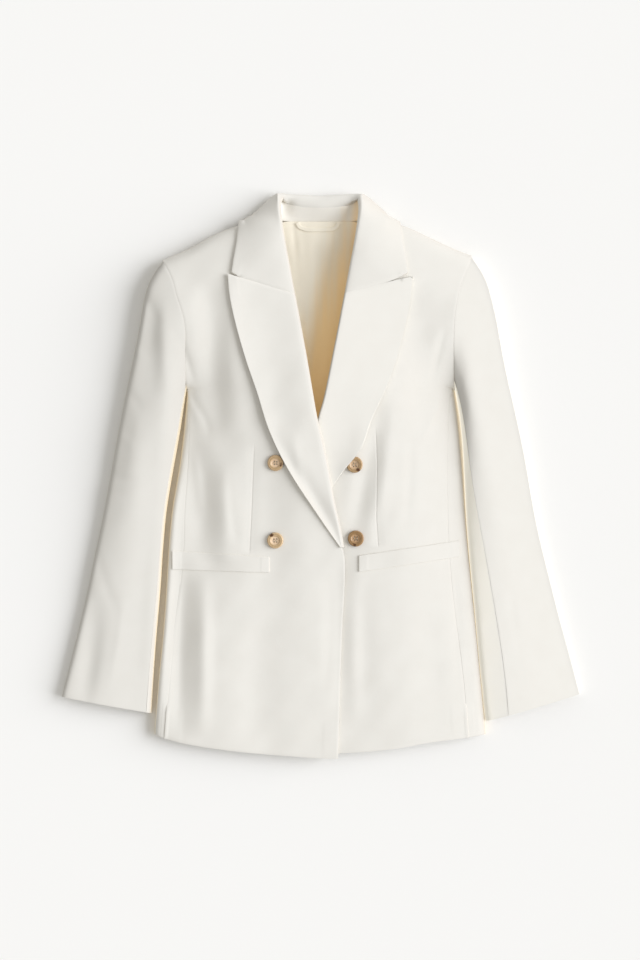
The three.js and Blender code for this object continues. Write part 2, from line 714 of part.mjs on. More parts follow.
// The side panel turns from the side-front seam round the edge to the back's seam.
function addSide(side) {
  const sign = sleeves[side].sign;
  const rows = bodyRowShares.map((share) => ({ below: Math.min(share, 0.9985) }));
  const points = rows.map((row) => {
    const faceShares = [0, 0.25, 0.5, 0.75, 1].map((t) => ({ top: true, t }));
    const underShares = [0.2, 0.4, 0.6, 0.8, 1].map((t) => ({ top: false, t }));
    return trimmed(faceShares.concat(underShares).map(({ top, t }) => {
      let x = sign * 190;
      let y = 0;
      let inset = 0;
      for (let pass = 0; pass < 6; pass += 1) {
        y = bodyRowY(x, row, top ? (side === "right" ? "over" : "under") : "back");
        const edgeX = sideEdge(side, y);
        const seamInset = Math.abs(edgeX - read(sideRows, "y", y, `${side}Seam`));
        const underInset = sideUnderReach * (1 - Math.cos(0.5 * Math.PI * t));
        inset = top ? (seamInset - seamGap) * (1 - Math.sin(0.5 * Math.PI * t)) : underInset;
        x = edgeX - sign * inset;
      }
      const half = edgeHalf(y);
      const z = top ? clothTop(x, y) : half * (1 - quarterRound(inset / half));
      return new THREE.Vector3(x, y, z);
    }));
  });
  add(`side_${side}`, wallGeometry(points, clothWall, -sign), cloth);
}

const backColumns = 12;

function addBack() {
  const shares = evenShares(sleeveUnderStations).map((t) => sleeveUnderShare(t * sleeveUnderStations));
  const rightRows = bodyRows("right", shares);
  const leftRows = bodyRows("left", shares);
  const points = rightRows.map((rightRow, index) => {
    const leftRow = leftRows[index];
    return evenShares(backColumns).map((share) => {
      let x = blend(-150, 150, share);
      let y = 0;
      for (let pass = 0; pass < 6; pass += 1) {
        const row = rightRow.below !== undefined
          ? rightRow
          : { above: blend(rightRow.above, leftRow.above, share) };
        y = bodyRowY(x, row, "back");
        const rightX = rightRow.seamX ?? sideEdge("right", y) + sideUnderReach;
        const leftX = leftRow.seamX ?? sideEdge("left", y) - sideUnderReach;
        x = blend(rightX + 0.5 * seamGap, leftX - 0.5 * seamGap, share);
      }
      return new THREE.Vector3(x, y, backLift(x, y));
    });
  });
  add("back", wallGeometry(points, clothWall, 1), cloth);
}

// The fold of a lapel or collar: a lip behind it, a half turn, and the face after it.
function foldPoints(fold, out, up, radius, lip) {
  const centre = fold.clone().addScaledVector(out, radius);
  const points = [centre.clone().addScaledVector(out, lip).addScaledVector(up, -radius)];
  for (const turn of [-90, -45, 0, 45, 90]) {
    const angle = THREE.MathUtils.degToRad(turn);
    const point = centre.clone();
    point.addScaledVector(out, -radius * Math.cos(angle));
    point.addScaledVector(up, radius * Math.sin(angle));
    points.push(point);
  }
  return points;
}

function addLapel(side) {
  const rows = lapelRows[side];
  const up = new THREE.Vector3(0, 0, 1);
  const top = frontTop[side];
  const rest = layerGap + clothWall;
  const points = evenShares(lapelRowCount).map((at) => {
    const rollY = read(rows, "at", at, "rollY");
    const roll = new THREE.Vector3(read(frontEdgeRows, "y", rollY, side), rollY, 0);
    const edge = new THREE.Vector3(read(rows, "at", at, "edgeX"), read(rows, "at", at, "edgeY"), 0);
    const out = edge.clone().sub(roll).normalize();
    const width = edge.distanceTo(roll);
    const start = roll.clone().addScaledVector(out, foldRadius);
    roll.z = top(start.x, start.y) + rest - foldRadius;
    const lip = Math.min(foldLip, width - foldRadius - 0.5);
    const row = foldPoints(roll, out, up, foldRadius, lip);
    row[0].z = top(row[0].x, row[0].y) + rest - 2 * foldRadius;
    const lift = read(rows, "at", at, "lift");
    for (let k = 1; k <= lapelWallColumns; k += 1) {
      const t = k / lapelWallColumns;
      const place = roll.clone().addScaledVector(out, blend(foldRadius, width, t));
      place.z = top(place.x, place.y) + rest + lift * t ** 3;
      row.push(place);
    }
    return row;
  });
  add(`lapel_${side}`, wallGeometry(points, clothWall, side === "right" ? 1 : -1), cloth);
}

function collarPlace(at, out, y, z) {
  return new THREE.Vector3(
    collarCentreX - read(collarRows, "at", at, out),
    read(collarRows, "at", at, y),
    read(collarRows, "at", at, z),
  );
}

// Heading is the way out from the neck, seen from above, and turn tips the leaf down from it.
function collarFrame(at) {
  const heading = THREE.MathUtils.degToRad(read(collarRows, "at", at, "heading"));
  const turn = THREE.MathUtils.degToRad(read(collarRows, "at", at, "turn"));
  const aside = new THREE.Vector3(-Math.cos(heading), Math.sin(heading), 0);
  const out = aside.clone().multiplyScalar(Math.cos(turn)).setZ(-Math.sin(turn));
  const up = aside.clone().multiplyScalar(Math.sin(turn)).setZ(Math.cos(turn));
  return { out, up };
}

function collarSection(at) {
  const fold = collarPlace(at, "foldOut", "foldY", "foldZ");
  const bow = collarPlace(at, "bowOut", "bowY", "bowZ");
  const edge = collarPlace(at, "edgeOut", "edgeY", "edgeZ");
  const { out, up } = collarFrame(at);
  const radius = read(collarRows, "at", at, "radius");
  const row = foldPoints(fold, out, up, radius, read(collarRows, "at", at, "lip"));
  const leaf = new THREE.QuadraticBezierCurve3(row[row.length - 1], bow, edge);
  for (let k = 1; k <= collarLeafColumns; k += 1) {
    const point = leaf.getPoint(k / collarLeafColumns);
    const onFront = point.z > edgeHalf(point.y) && point.y < topLine(point.x);
    const rest = clothTop(point.x, point.y) + layerGap + clothWall;
    if (onFront) point.z = Math.max(point.z, rest);
    row.push(point);
  }
  row.forEach((point) => { point.z = Math.max(point.z, 0); });
  return row;
}

function mirrored(rows) {
  const other = rows.slice(0, -1).reverse();
  const flip = (p) => new THREE.Vector3(2 * collarCentreX - p.x, p.y, p.z);
  return rows.concat(other.map((row) => row.map(flip)));
}

function addCollar() {
  const sections = evenShares(collarHalfStations).map((at) => collarSection(at));
  add("collar", wallGeometry(mirrored(sections), clothWall, 1), cloth);
}

function addStand() {
  const shares = evenShares(standStations).map((t) => blend(standStart, 1, t));
  const sections = shares.map((at) => {
    const lipEnd = collarSection(at)[0];
    const seam = new THREE.Vector3(
      collarCentreX - read(standRows, "at", at, "out"),
      read(standRows, "at", at, "y"),
      read(standRows, "at", at, "z"),
    );
    return trimmed([0, 1 / 3, 2 / 3, 1].map((t) => seam.clone().lerp(lipEnd, t)), 4 * seamGap);
  });
  add("collar_stand", wallGeometry(mirrored(sections), clothWall, 1), cloth);
}

function liningTop(x, y) {
  let pleat = 0;
  for (const row of liningPleats) {
    pleat += row.height * Math.exp(-(((x - row.x) / row.halfWidth) ** 2));
  }
  const settle = smooth((338 - y) / 30);
  return backLift(x, y) + clothWall + liningGap + liningWall + pleat * settle;
}

function addLining() {
  const points = liningStations.map((y) => {
    return evenShares(liningColumns).map((share) => {
      const x = blend(read(liningRows, "y", y, "right"), read(liningRows, "y", y, "left"), share);
      return new THREE.Vector3(x, y, liningTop(x, y));
    });
  });
  add("back_lining", wallGeometry(points, liningWall, -1), lining);
}

function addHangerLoop() {
  const points = evenShares(loopStations).map((at) => {
    const place = (t) => new THREE.Vector3(read(loopRows, "at", t, "x"), read(loopRows, "at", t, "y"), 0);
    const centre = place(at);
    const run = place(Math.min(at + 0.02, 1)).sub(place(Math.max(at - 0.02, 0))).normalize();
    const aside = new THREE.Vector3(-run.y, run.x, 0);
    return [-0.5, 0.5].map((share) => {
      const point = centre.clone().addScaledVector(aside, share * loopWidth);
      point.z = liningTop(point.x, point.y) + seamGap + liningWall;
      return point;
    });
  });
  add("hanger_loop", wallGeometry(points, liningWall, 1), lining);
}

function addWelt(side) {
  const welt = welts[side];
  const points = evenShares(weltColumns).map((t) => {
    const x = blend(welt.x1, welt.x2, t);
    const y = blend(welt.y1, welt.y2, t);
    const depth = blend(welt.depth1, welt.depth2, t);
    return [0, 0.5, 1].map((share) => {
      const z = frontTop[side](x, y - share * depth) + layerGap + weltWall;
      return new THREE.Vector3(x, y - share * depth, z);
    });
  });
  add(`pocket_welt_${side}`, wallGeometry(points, weltWall, -1), cloth);
}

const wasm = await Module();
wasm.setup();

function solidFrom(geometry) {
  const bare = geometry.clone();
  bare.deleteAttribute("normal");
  bare.deleteAttribute("uv");
  const merged = mergeVertices(bare, 1e-4);
  const corners = merged.index.array;
  const kept = [];
  for (let k = 0; k < corners.length; k += 3) {
    const [a, b, c] = corners.slice(k, k + 3);
    if (a !== b && b !== c && c !== a) kept.push(a, b, c);
  }
  const vertProperties = Float32Array.from(merged.attributes.position.array);
  const mesh = new wasm.Mesh({ numProp: 3, vertProperties, triVerts: Uint32Array.from(kept) });
  return new wasm.Manifold(mesh);
}

function geometryFrom(solid) {
  const mesh = solid.getMesh();
  const geometry = new THREE.BufferGeometry();
  geometry.setAttribute("position", new THREE.BufferAttribute(mesh.vertProperties, 3));
  geometry.setIndex(new THREE.BufferAttribute(mesh.triVerts, 1));
  geometry.computeVertexNormals();
  return geometry;
}

// A four-hole button: a raised rim round a shallow dish.
function buttonGeometry() {
  const rimWidth = 2.6;
  const dishDepth = 1;
  const profile = [
    new THREE.Vector2(0, 0),
    new THREE.Vector2(buttonRadius - 1.2, 0),
    new THREE.Vector2(buttonRadius, 1.2),
    new THREE.Vector2(buttonRadius, buttonThickness - 0.9),
    new THREE.Vector2(buttonRadius - 0.9, buttonThickness),
    new THREE.Vector2(buttonRadius - rimWidth + 0.6, buttonThickness),
    new THREE.Vector2(buttonRadius - rimWidth - 0.6, buttonThickness - dishDepth),
    new THREE.Vector2(0, buttonThickness - dishDepth),
  ];
  let solid = solidFrom(new THREE.LatheGeometry(profile, buttonSides).rotateX(0.5 * Math.PI));
  for (let k = 0; k < 4; k += 1) {
    const angle = (k + 0.5) * 0.5 * Math.PI;
    const hole = new THREE.CylinderGeometry(buttonHoleRadius, buttonHoleRadius, 12, 8);
    hole.rotateX(0.5 * Math.PI);
    hole.translate(buttonHoleReach * Math.cos(angle), buttonHoleReach * Math.sin(angle), 0);
    solid = solid.subtract(solidFrom(hole));
  }
  return geometryFrom(solid);
}

// Buttons lie along the cloth that they are sewn to.
function addButtons() {
  const geometry = buttonGeometry();
  for (const [name, { x, y }] of Object.entries(buttons)) {
    const top = frontTop[x < 0 ? "right" : "left"];
    const reach = buttonRadius;
    const slopeX = (top(x + reach, y) - top(x - reach, y)) / (2 * reach);
    const slopeY = (top(x, y + reach) - top(x, y - reach)) / (2 * reach);
    const up = new THREE.Vector3(-slopeX, -slopeY, 1).normalize();
    const button = new THREE.Mesh(geometry, horn);
    button.name = name;
    button.quaternion.setFromUnitVectors(new THREE.Vector3(0, 0, 1), up);
    let clear = 0;
    for (let k = 0; k < 16; k += 1) {
      const angle = (k * Math.PI) / 8;
      const edge = new THREE.Vector3(reach * Math.cos(angle), reach * Math.sin(angle), 0);
      edge.applyQuaternion(button.quaternion);
      clear = Math.max(clear, top(x + edge.x, y + edge.y) - top(x, y) - edge.z);
    }
    button.position.set(x, y, top(x, y) + clear + seamGap);
    blazer.add(button);
  }
}

addBack();
for (const side of ["right", "left"]) {
  addFront(side);
  addSide(side);
  addSleeve(side);
  addLapel(side);
  addWelt(side);
}
addCollar();
addStand();
addLining();
addHangerLoop();
addButtons();

// The origin is below the middle of the whole garment, on the surface that it lies on.
const extent = new THREE.Box3().setFromObject(blazer, true);
const middle = extent.getCenter(new THREE.Vector3());
blazer.position.set(-middle.x, -middle.y, -extent.min.z);

export default blazer;
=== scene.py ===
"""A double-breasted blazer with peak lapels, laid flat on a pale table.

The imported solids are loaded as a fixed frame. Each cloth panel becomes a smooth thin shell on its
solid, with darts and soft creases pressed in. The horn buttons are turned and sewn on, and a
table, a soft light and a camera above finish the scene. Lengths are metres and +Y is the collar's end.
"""

import math
from collections import namedtuple

import bmesh
import bpy
import numpy
from mathutils import Matrix, Vector


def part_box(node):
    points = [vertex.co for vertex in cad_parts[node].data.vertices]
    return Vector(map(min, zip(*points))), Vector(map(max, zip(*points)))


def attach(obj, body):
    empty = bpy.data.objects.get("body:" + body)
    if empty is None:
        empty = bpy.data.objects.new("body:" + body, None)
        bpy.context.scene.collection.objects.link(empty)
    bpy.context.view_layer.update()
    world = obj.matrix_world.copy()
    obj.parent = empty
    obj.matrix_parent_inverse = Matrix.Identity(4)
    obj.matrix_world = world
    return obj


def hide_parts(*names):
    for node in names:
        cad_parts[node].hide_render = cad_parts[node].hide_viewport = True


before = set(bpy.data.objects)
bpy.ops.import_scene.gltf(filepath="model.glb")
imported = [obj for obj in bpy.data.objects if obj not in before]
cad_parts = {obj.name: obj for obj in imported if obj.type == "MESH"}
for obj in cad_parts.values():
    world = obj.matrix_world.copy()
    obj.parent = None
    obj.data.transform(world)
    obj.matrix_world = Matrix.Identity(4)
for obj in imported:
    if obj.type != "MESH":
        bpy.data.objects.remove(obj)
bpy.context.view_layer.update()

bl_info = {
    "name": "Double-breasted blazer",
    "version": (1, 0, 0),
    "blender": (4, 5, 0),
    "location": "3D View > Sidebar > Blazer",
    "description": "Dresses the blazer's solids with cloth, lining and horn buttons, laid flat",
    "category": "Object",
}

MM = 0.001
BODY = "root"

MERGE_DISTANCE = 0.001 * MM
FLAT_JOIN_ANGLE = 0.7
RIM_ANGLE = math.radians(52)
RIM_MARK = "cut_rim"
UNDER_HEIGHT = 3 * MM
OVER_HEIGHT = 8 * MM

# What a cutter would lay out for each piece: the width and length of the cloth it comes from, how
# often its faces are divided, and what it lies on.
Panel = namedtuple("Panel", "node width length detail rests_on")

BODY_PANELS = (
    Panel("back", 0.43, 0.73, 2, ()),
    Panel("front_right", 0.27, 0.75, 3, ("back", "side_right")),
    Panel("front_left", 0.27, 0.74, 3, ("back", "side_left")),
    Panel("side_right", 0.12, 0.49, 3, ("back",)),
    Panel("side_left", 0.12, 0.49, 3, ("back",)),
)
SLEEVE_PANELS = (
    Panel("sleeve_top_right", 0.19, 0.66, 3, ("sleeve_under_right",)),
    Panel("sleeve_top_left", 0.19, 0.66, 3, ("sleeve_under_left",)),
    Panel("sleeve_under_right", 0.15, 0.62, 3, ()),
    Panel("sleeve_under_left", 0.15, 0.62, 3, ()),
)
LAPEL_PANELS = (
    Panel("lapel_right", 0.15, 0.40, 3, ("front_right",)),
    Panel("lapel_left", 0.15, 0.40, 3, ("front_left",)),
)
COLLAR_PANELS = (
    Panel("collar", 0.43, 0.13, 2, ("collar_stand", "front_right", "front_left")),
    Panel("collar_stand", 0.15, 0.035, 2, ("back_lining",)),
)
WELT_PANELS = (
    Panel("pocket_welt_right", 0.14, 0.026, 3, ("front_right",)),
    Panel("pocket_welt_left", 0.14, 0.026, 3, ("front_left",)),
)
LINING_PANELS = (
    Panel("back_lining", 0.21, 0.31, 2, ("back",)),
    Panel("hanger_loop", 0.012, 0.07, 2, ("back_lining",)),
)

# Creases in millimetres: where each starts and ends, its half width, how far it rises above the
# cloth or, below zero, sinks into it, and how far its middle bows to the side.
Crease = namedtuple("Crease", "x0 y0 x1 y1 width rise bow")

UPPER_CREASES = (
    Crease(-152, 262, -150, 40, 15, -2.4, 2),
    Crease(-120, 262, -118, 50, 15, 2.4, -2),
    Crease(-160, 40, -164, -118, 15, -2.4, 4),
    Crease(-128, 20, -130, -116, 14, 2.2, 3),
    Crease(-182, -124, -186, -352, 12, -3.2, -3),
    Crease(-157, -130, -160, -350, 12, 2.9, 2),
    Crease(98, 108, 62, -96, 12, 1.5, 4),
    Crease(74, 102, 38, -100, 12, -1.4, 3),
    Crease(49, -110, 47, -338, 11, 1.0, -3),
    Crease(24, -106, 24, -336, 11, -0.9, 2),
    Crease(-184, 150, -229, -350, 17, 8.5, -4),
    Crease(-227, 244, -222, 96, 9, -1.3, 3),
    Crease(-206, 238, -203, 104, 8, 0.8, -2),
    Crease(-300, -156, -318, -324, 12, -3.2, 3),
    Crease(-196, 196, -168, 120, 5, -0.9, 3),
    Crease(-188, 150, -160, 70, 4, 0.6, -4),
    Crease(-178, 108, -146, 52, 5, -0.7, 5),
    Crease(-170, 40, -158, -60, 6, 0.6, 2),
    Crease(-120, 10, -112, -92, 7, -0.6, -3),
    Crease(10, -130, 6, -300, 8, -0.5, 3),
    Crease(-36, 60, -14, -40, 7, 0.5, -4),
    Crease(166, 196, 148, 110, 5, -0.7, -3),
    Crease(160, 110, 128, 40, 5, 0.6, 4),
    Crease(118, 60, 112, -76, 7, -0.6, 3),
    Crease(176, -120, 182, -270, 6, -0.6, 3),
    Crease(-246, 250, -214, 196, 6, -0.8, 4),
    Crease(-262, 196, -228, 150, 5, 0.6, -3),
    Crease(-270, 120, -236, 84, 6, -0.7, 4),
    Crease(-292, 60, -246, 36, 5, 0.6, 5),
    Crease(-296, 10, -240, -6, 6, -0.8, -5),
    Crease(-304, -40, -258, -34, 5, 0.5, 4),
    Crease(-300, -92, -266, -190, 7, -0.7, -4),
    Crease(-262, -160, -282, -286, 6, 0.6, 3),
    Crease(238, 246, 214, 196, 6, -0.7, -4),
    Crease(262, 180, 226, 134, 5, 0.6, 4),
    Crease(280, 96, 240, 66, 6, -0.7, -3),
    Crease(290, 30, 246, 14, 5, 0.6, -5),
    Crease(300, -20, 248, -24, 6, -0.7, 4),
    Crease(288, -90, 262, -196, 7, 0.6, 4),
    Crease(250, -120, 268, -250, 6, -0.6, -3),
)
UNDER_CREASES = (
    Crease(-60, 250, -50, 60, 9, 0.6, 5),
    Crease(44, 210, 60, -20, 8, 0.5, -6),
    Crease(-120, 80, -90, -120, 10, 0.7, 6),
    Crease(96, 40, 110, -160, 9, 0.6, -5),
    Crease(-30, -60, -24, -330, 11, 0.5, 7),
    Crease(70, -170, 84, -350, 10, 0.6, 4),
    Crease(-140, -150, -150, -330, 9, 0.5, -5),
    Crease(-250, 150, -232, 40, 6, 0.6, 4),
    Crease(-270, -20, -240, -60, 5, 0.5, -3),
    Crease(-262, -120, -284, -270, 7, 0.6, 4),
    Crease(244, 160, 236, 30, 6, 0.6, -4),
    Crease(262, -10, 240, -60, 5, 0.5, 3),
    Crease(258, -120, 276, -260, 7, 0.6, -3),
)

# Creases of one panel alone: the lapel's edge lies down on the front where its roll ends, and the
# lining has fine upright folds.
OWN_CREASES = {
    "lapel_right": (Crease(-78, 68, 30, -100, 14, -5.0, 0),),
    "back_lining": (
        Crease(-38, 345, -31, 258, 3.5, -1.0, 1), Crease(-29, 318, -22, 236, 4, 0.8, -1),
        Crease(18, 345, 12, 250, 4, -1.1, 1), Crease(27, 330, 22, 262, 4, 0.7, 0),
        Crease(-8, 320, -5, 200, 5, -0.6, 1),
    ),
}

# The left sleeve leans towards the body, so that only a fine gap is left: as creases, but the rise is
# a shift along +X.
LEANING = (Crease(184, 112, 235, -480, 22, -3.7, 0),)
LEANS = {"sleeve_top_left": LEANING, "sleeve_under_left": LEANING}

# The slow waves that keep flat cloth from looking ironed to a sheet: direction in degrees, wave
# length and height in millimetres.
Ripple = namedtuple("Ripple", "heading length height")
RIPPLES = (
    Ripple(14, 71, 0.10),
    Ripple(63, 54, 0.08),
    Ripple(101, 83, 0.10),
    Ripple(147, 43, 0.06),
    Ripple(-38, 36, 0.05),
)

# Darts on the fronts, from the point under the lapel down to the welt, in millimetres.
Dart = namedtuple("Dart", "node points")
DARTS = (
    Dart("front_right", ((-88, 45), (-92, -57), (-94.5, -102))),
    Dart("front_left", ((73, 66), (75, 13), (74, -57), (76.5, -94))),
)
GROOVE_STEPS = (-3.2, -1.5, -0.6, 0.0, 0.6, 1.5, 3.2)
GROOVE_MARGIN = 14 * MM
GROOVE_MERGE = 0.02 * MM
DART_FOLD_WIDTH = 7 * MM
DART_START = 0.12
DART_END = 0.985

# Cloth edges that are drawn over or under the next panel so that no gap shows in the seam: which way
# the edge faces, in degrees from +X towards +Y, and how far it is drawn that way and up, in millimetres.
# It is drawn where its rim faces within 50 degrees of that way.
Draw = namedtuple("Draw", "node heading reach rise")
DRAWN_EDGES = (
    Draw("collar_stand", -90, 4.0, 0.5),
    Draw("collar_stand", 90, 1.2, -0.4),
    Draw("collar_stand", 180, 1.0, -0.5),
    Draw("collar_stand", 0, 1.0, -0.5),
    Draw("front_right", 180, 1.4, -0.1),
    Draw("front_left", 0, 1.4, -0.1),
    Draw("collar", -90, 1.4, -0.3),
    Draw("lapel_left", 90, 2.2, -0.4),
    Draw("lapel_right", 90, 0.5, -0.2),
)
DRAWN_FACING = math.cos(math.radians(50))

# How much further from the fronts than its solid a layer on top of them lies, in millimetres.
CLEARANCE = {
    "lapel_right": 0.3, "lapel_left": 0.3, "collar": 0.3, "collar_stand": 0.3,
    "pocket_welt_right": -0.95, "pocket_welt_left": -0.95,
}

# How the crepe looks: its brightness, a painted light and shade that gives lit and shaded copies of the
# one crepe, which setting paints its slopes with their shade, how upright a face is where that begins,
# which side along X the slopes beside a gap face, how strongly those glow, a painted glow for the light
# that comes through the cloth, and how evenly the cloth is lit. The left side of the blazer is lit more
# evenly and painted a little more brightly, and the right top sleeve is painted a little darker.
Look = namedtuple("Look", "name light side side_from heading glow evened")
PLAIN = Look("cream_crepe", 1.0, "warm_colour", 0.6, 0, 0.0, 0.0)
SHADED = Look("cream_crepe_shaded", 0.955, "warm_colour", 0.6, 0, 0.0, 0.6)
EVEN = Look("cream_crepe_even", 1.07, "warm_colour", 0.6, 0, 0.0, 0.85)
GOLDEN = Look("cream_crepe_golden", 1.0, "gap_colour", 0.75, 1, 0.12, 0.0)
GOLDEN_SIDE = Look("cream_crepe_golden_side", 1.0, "gap_colour", 0.75, -1, 0.12, 0.0)
PALE = Look("cream_crepe_pale", 1.0, "pale_colour", 1.4, -1, 0.75, 0.95)
LOOKS = {
    "side_right": GOLDEN_SIDE, "side_left": GOLDEN, "sleeve_under_right": GOLDEN,
    "sleeve_under_left": PALE, "sleeve_top_left": EVEN, "lapel_left": EVEN,
    "sleeve_top_right": SHADED,
}

# How far along X a face's normal points where the gap's painted shade, and the painted dimming of faces
# turned to the light, set in and are full, and how upright a face is that is lit as evenly as its look says.
GAP_FACING = (0.05, 0.35)
PAINTED_DIM_FACING = (0.04, 0.65)
LEVEL_FACING = 0.4

# Painted golden shade on the lining towards +X and the bottom of the neck opening, in upright streaks:
# how fast along each axis, by which shares the streaks are drawn out, and over which range it turns.
DEEP_RISE = (11.0, -4.0, 0)
FOLD_SHARE = (1.0, 0.07, 1.0)
DEEP_RANGE = (-0.92, -0.28)
# The colours of the painted glow on the lining, plain and deep.
GLOW_TONE = (0.35, 0.30, 0.22)
DEEP_GLOW_TONE = (0.85, 0.52, 0.19)

BLACK = (0, 0, 0, 1)
STREAK_SHADE = (0.82, 0.73, 0.62)
KEY_TINT = (0.985, 1.0, 1.03)
SKY_TINT = (1.0, 0.985, 0.94)

# The buttons: where on its rim each has its dark patch, in degrees from +X towards +Y, and how deep
# the tone of its horn is, from 0 to 1. On button_upper_right the patch is painted shadow under the
# lapel's edge.
Button = namedtuple("Button", "node spot_heading depth")
BUTTONS = (
    Button("button_upper_right", -12, 0.2),
    Button("button_lower_right", 122, 0.0),
    Button("button_upper_left", -52, 0.5),
    Button("button_lower_left", -105, 0.9),
)
SPOT_SPREAD = 34
DRILL_LENGTH = 20 * MM
DISH_HEIGHT = 2.3 * MM
THREAD_FOOT = 0.3 * MM

# The button's half section in millimetres, from the middle of its back round the rim to the middle
# of its dish, with how much of the rim's darker tone each point has.
Turn = namedtuple("Turn", "radius height rim")
BUTTON_SECTION = (
    Turn(0, 0.0, 0.6),
    Turn(8.7, 0.0, 0.8),
    Turn(9.9, 0.35, 1.0),
    Turn(10.5, 1.0, 1.0),
    Turn(10.75, 1.9, 1.0),
    Turn(10.55, 2.75, 0.85),
    Turn(10.0, 3.35, 0.75),
    Turn(9.2, 3.6, 0.8),
    Turn(8.6, 3.55, 0.75),
    Turn(8.15, 3.3, 1.0),
    Turn(7.75, 3.45, 1.0),
    Turn(6.9, 3.5, 0.85),
    Turn(6.2, 3.3, 0.75),
    Turn(5.7, 2.8, 0.7),
    Turn(5.2, 2.45, 0.15),
    Turn(4.2, 2.3, 0.05),
    Turn(0, 2.2, 0.0),
)


class BlazerClothSettings(bpy.types.PropertyGroup):
    """The cloth of the shell and its lining."""

    cloth_colour: bpy.props.FloatVectorProperty(
        name="Cloth", description="Colour of the cream crepe", subtype="COLOR", size=3,
        min=0, max=1, default=(0.815, 0.797, 0.755))
    slub_colour: bpy.props.FloatVectorProperty(
        name="Slub", description="Slightly deeper tone of the uneven yarn", subtype="COLOR", size=3,
        min=0, max=1, default=(0.785, 0.762, 0.715))
    # Painted shade: the tone that the sideways slopes of the cloth take.
    warm_colour: bpy.props.FloatVectorProperty(
        name="Warm side", description="Warmer tone of cloth that faces sideways", subtype="COLOR",
        size=3, min=0, max=1, default=(0.80, 0.765, 0.69))
    # Painted golden shade on the slopes beside the gap between the sleeves and the body.
    gap_colour: bpy.props.FloatVectorProperty(
        name="Gap", description="Golden tone between the sleeves and the body", subtype="COLOR",
        size=3, min=0, max=1, default=(0.85, 0.725, 0.50))
    # Painted light: the paler tone, and the glow, of the left under sleeve beside the body.
    pale_colour: bpy.props.FloatVectorProperty(
        name="Pale side", description="Tone of the left under sleeve beside the body",
        subtype="COLOR", size=3, min=0, max=1, default=(0.84, 0.80, 0.69))
    # Painted shade on the faces turned to the key light, holding down their highlight.
    painted_dim_to_light: bpy.props.FloatVectorProperty(
        name="Nap", description="Share of each colour that is left where the nap lies to the light",
        subtype="COLOR", size=3, min=0, max=1, default=(0.70, 0.675, 0.65))
    lining_colour: bpy.props.FloatVectorProperty(
        name="Lining", description="Colour of the satin lining", subtype="COLOR", size=3,
        min=0, max=1, default=(0.86, 0.81, 0.70))
    # Painted golden shade of the lining deep between the fronts.
    painted_deep_lining_shade: bpy.props.FloatVectorProperty(
        name="Deep lining", description="Golden tone of the lining deep between the fronts",
        subtype="COLOR", size=3, min=0, max=1, default=(0.83, 0.64, 0.38))
    # Strength of the painted glow on the lining and the collar stand.
    painted_glow_strength: bpy.props.FloatProperty(
        name="Glow", description="Strength of the light that comes through the cloth onto the lining", min=0,
        default=0.2)
    yarn_pitch: bpy.props.FloatProperty(
        name="Yarn pitch", description="Distance from one yarn to the next", unit="LENGTH",
        subtype="DISTANCE", default=0.45 * MM)
    rim_radius: bpy.props.FloatProperty(
        name="Edge radius", description="How round a turned cloth edge is", unit="LENGTH",
        subtype="DISTANCE", default=0.28 * MM)
    seam_closing: bpy.props.FloatProperty(
        name="Seam closing", description="How far each cloth edge reaches into its seam",
        unit="LENGTH", subtype="DISTANCE", default=0.155 * MM)
    crease_share: bpy.props.FloatProperty(
        name="Creases", description="Share of the full depth of the soft creases", subtype="FACTOR",
        min=0, max=1.5, default=1.0)
    dart_depth: bpy.props.FloatProperty(
        name="Dart depth", description="Depth of the stitched line of a dart", unit="LENGTH",
        subtype="DISTANCE", default=0.32 * MM)
    dart_width: bpy.props.FloatProperty(
        name="Dart width", description="Half width of the stitched line of a dart", unit="LENGTH",
        subtype="DISTANCE", default=0.75 * MM)
    dart_fold: bpy.props.FloatProperty(
        name="Dart fold", description="How far the cloth sinks towards a dart", unit="LENGTH",
        subtype="DISTANCE", default=0.5 * MM)


class BlazerButtonSettings(bpy.types.PropertyGroup):
    """The four horn buttons and their thread."""

    horn_colour: bpy.props.FloatVectorProperty(
        name="Horn", description="Tan of the button's rim", subtype="COLOR", size=3,
        min=0, max=1, default=(0.56, 0.40, 0.22))
    dish_colour: bpy.props.FloatVectorProperty(
        name="Dish", description="Pinkish beige of the button's dish", subtype="COLOR", size=3,
        min=0, max=1, default=(0.88, 0.68, 0.49))
    deep_shade: bpy.props.FloatVectorProperty(
        name="Deep shade", description="Share of each colour that the deepest toned horn keeps",
        subtype="COLOR", size=3, min=0, max=1, default=(0.52, 0.41, 0.29))
    # The dark patch on each button's rim; on button_upper_right it is painted shadow under the lapel's edge.
    spot_colour: bpy.props.FloatVectorProperty(
        name="Spots", description="Dark brown of the horn's spots", subtype="COLOR", size=3,
        min=0, max=1, default=(0.095, 0.036, 0.012))
    thread_colour: bpy.props.FloatVectorProperty(
        name="Thread", description="Colour of the sewing thread", subtype="COLOR", size=3,
        min=0, max=1, default=(0.74, 0.63, 0.47))
    hole_radius: bpy.props.FloatProperty(
        name="Hole radius", description="Radius of each sewing hole", unit="LENGTH",
        subtype="DISTANCE", default=1.0 * MM)
    hole_reach: bpy.props.FloatProperty(
        name="Hole reach", description="From the middle of the button to each hole", unit="LENGTH",
        subtype="DISTANCE", default=2.35 * MM)
    thread_radius: bpy.props.FloatProperty(
        name="Thread radius", description="Radius of one strand of thread", unit="LENGTH",
        subtype="DISTANCE", default=0.15 * MM)
    sides: bpy.props.IntProperty(
        name="Sides", description="Steps round the turned button", min=16, max=96, default=64)


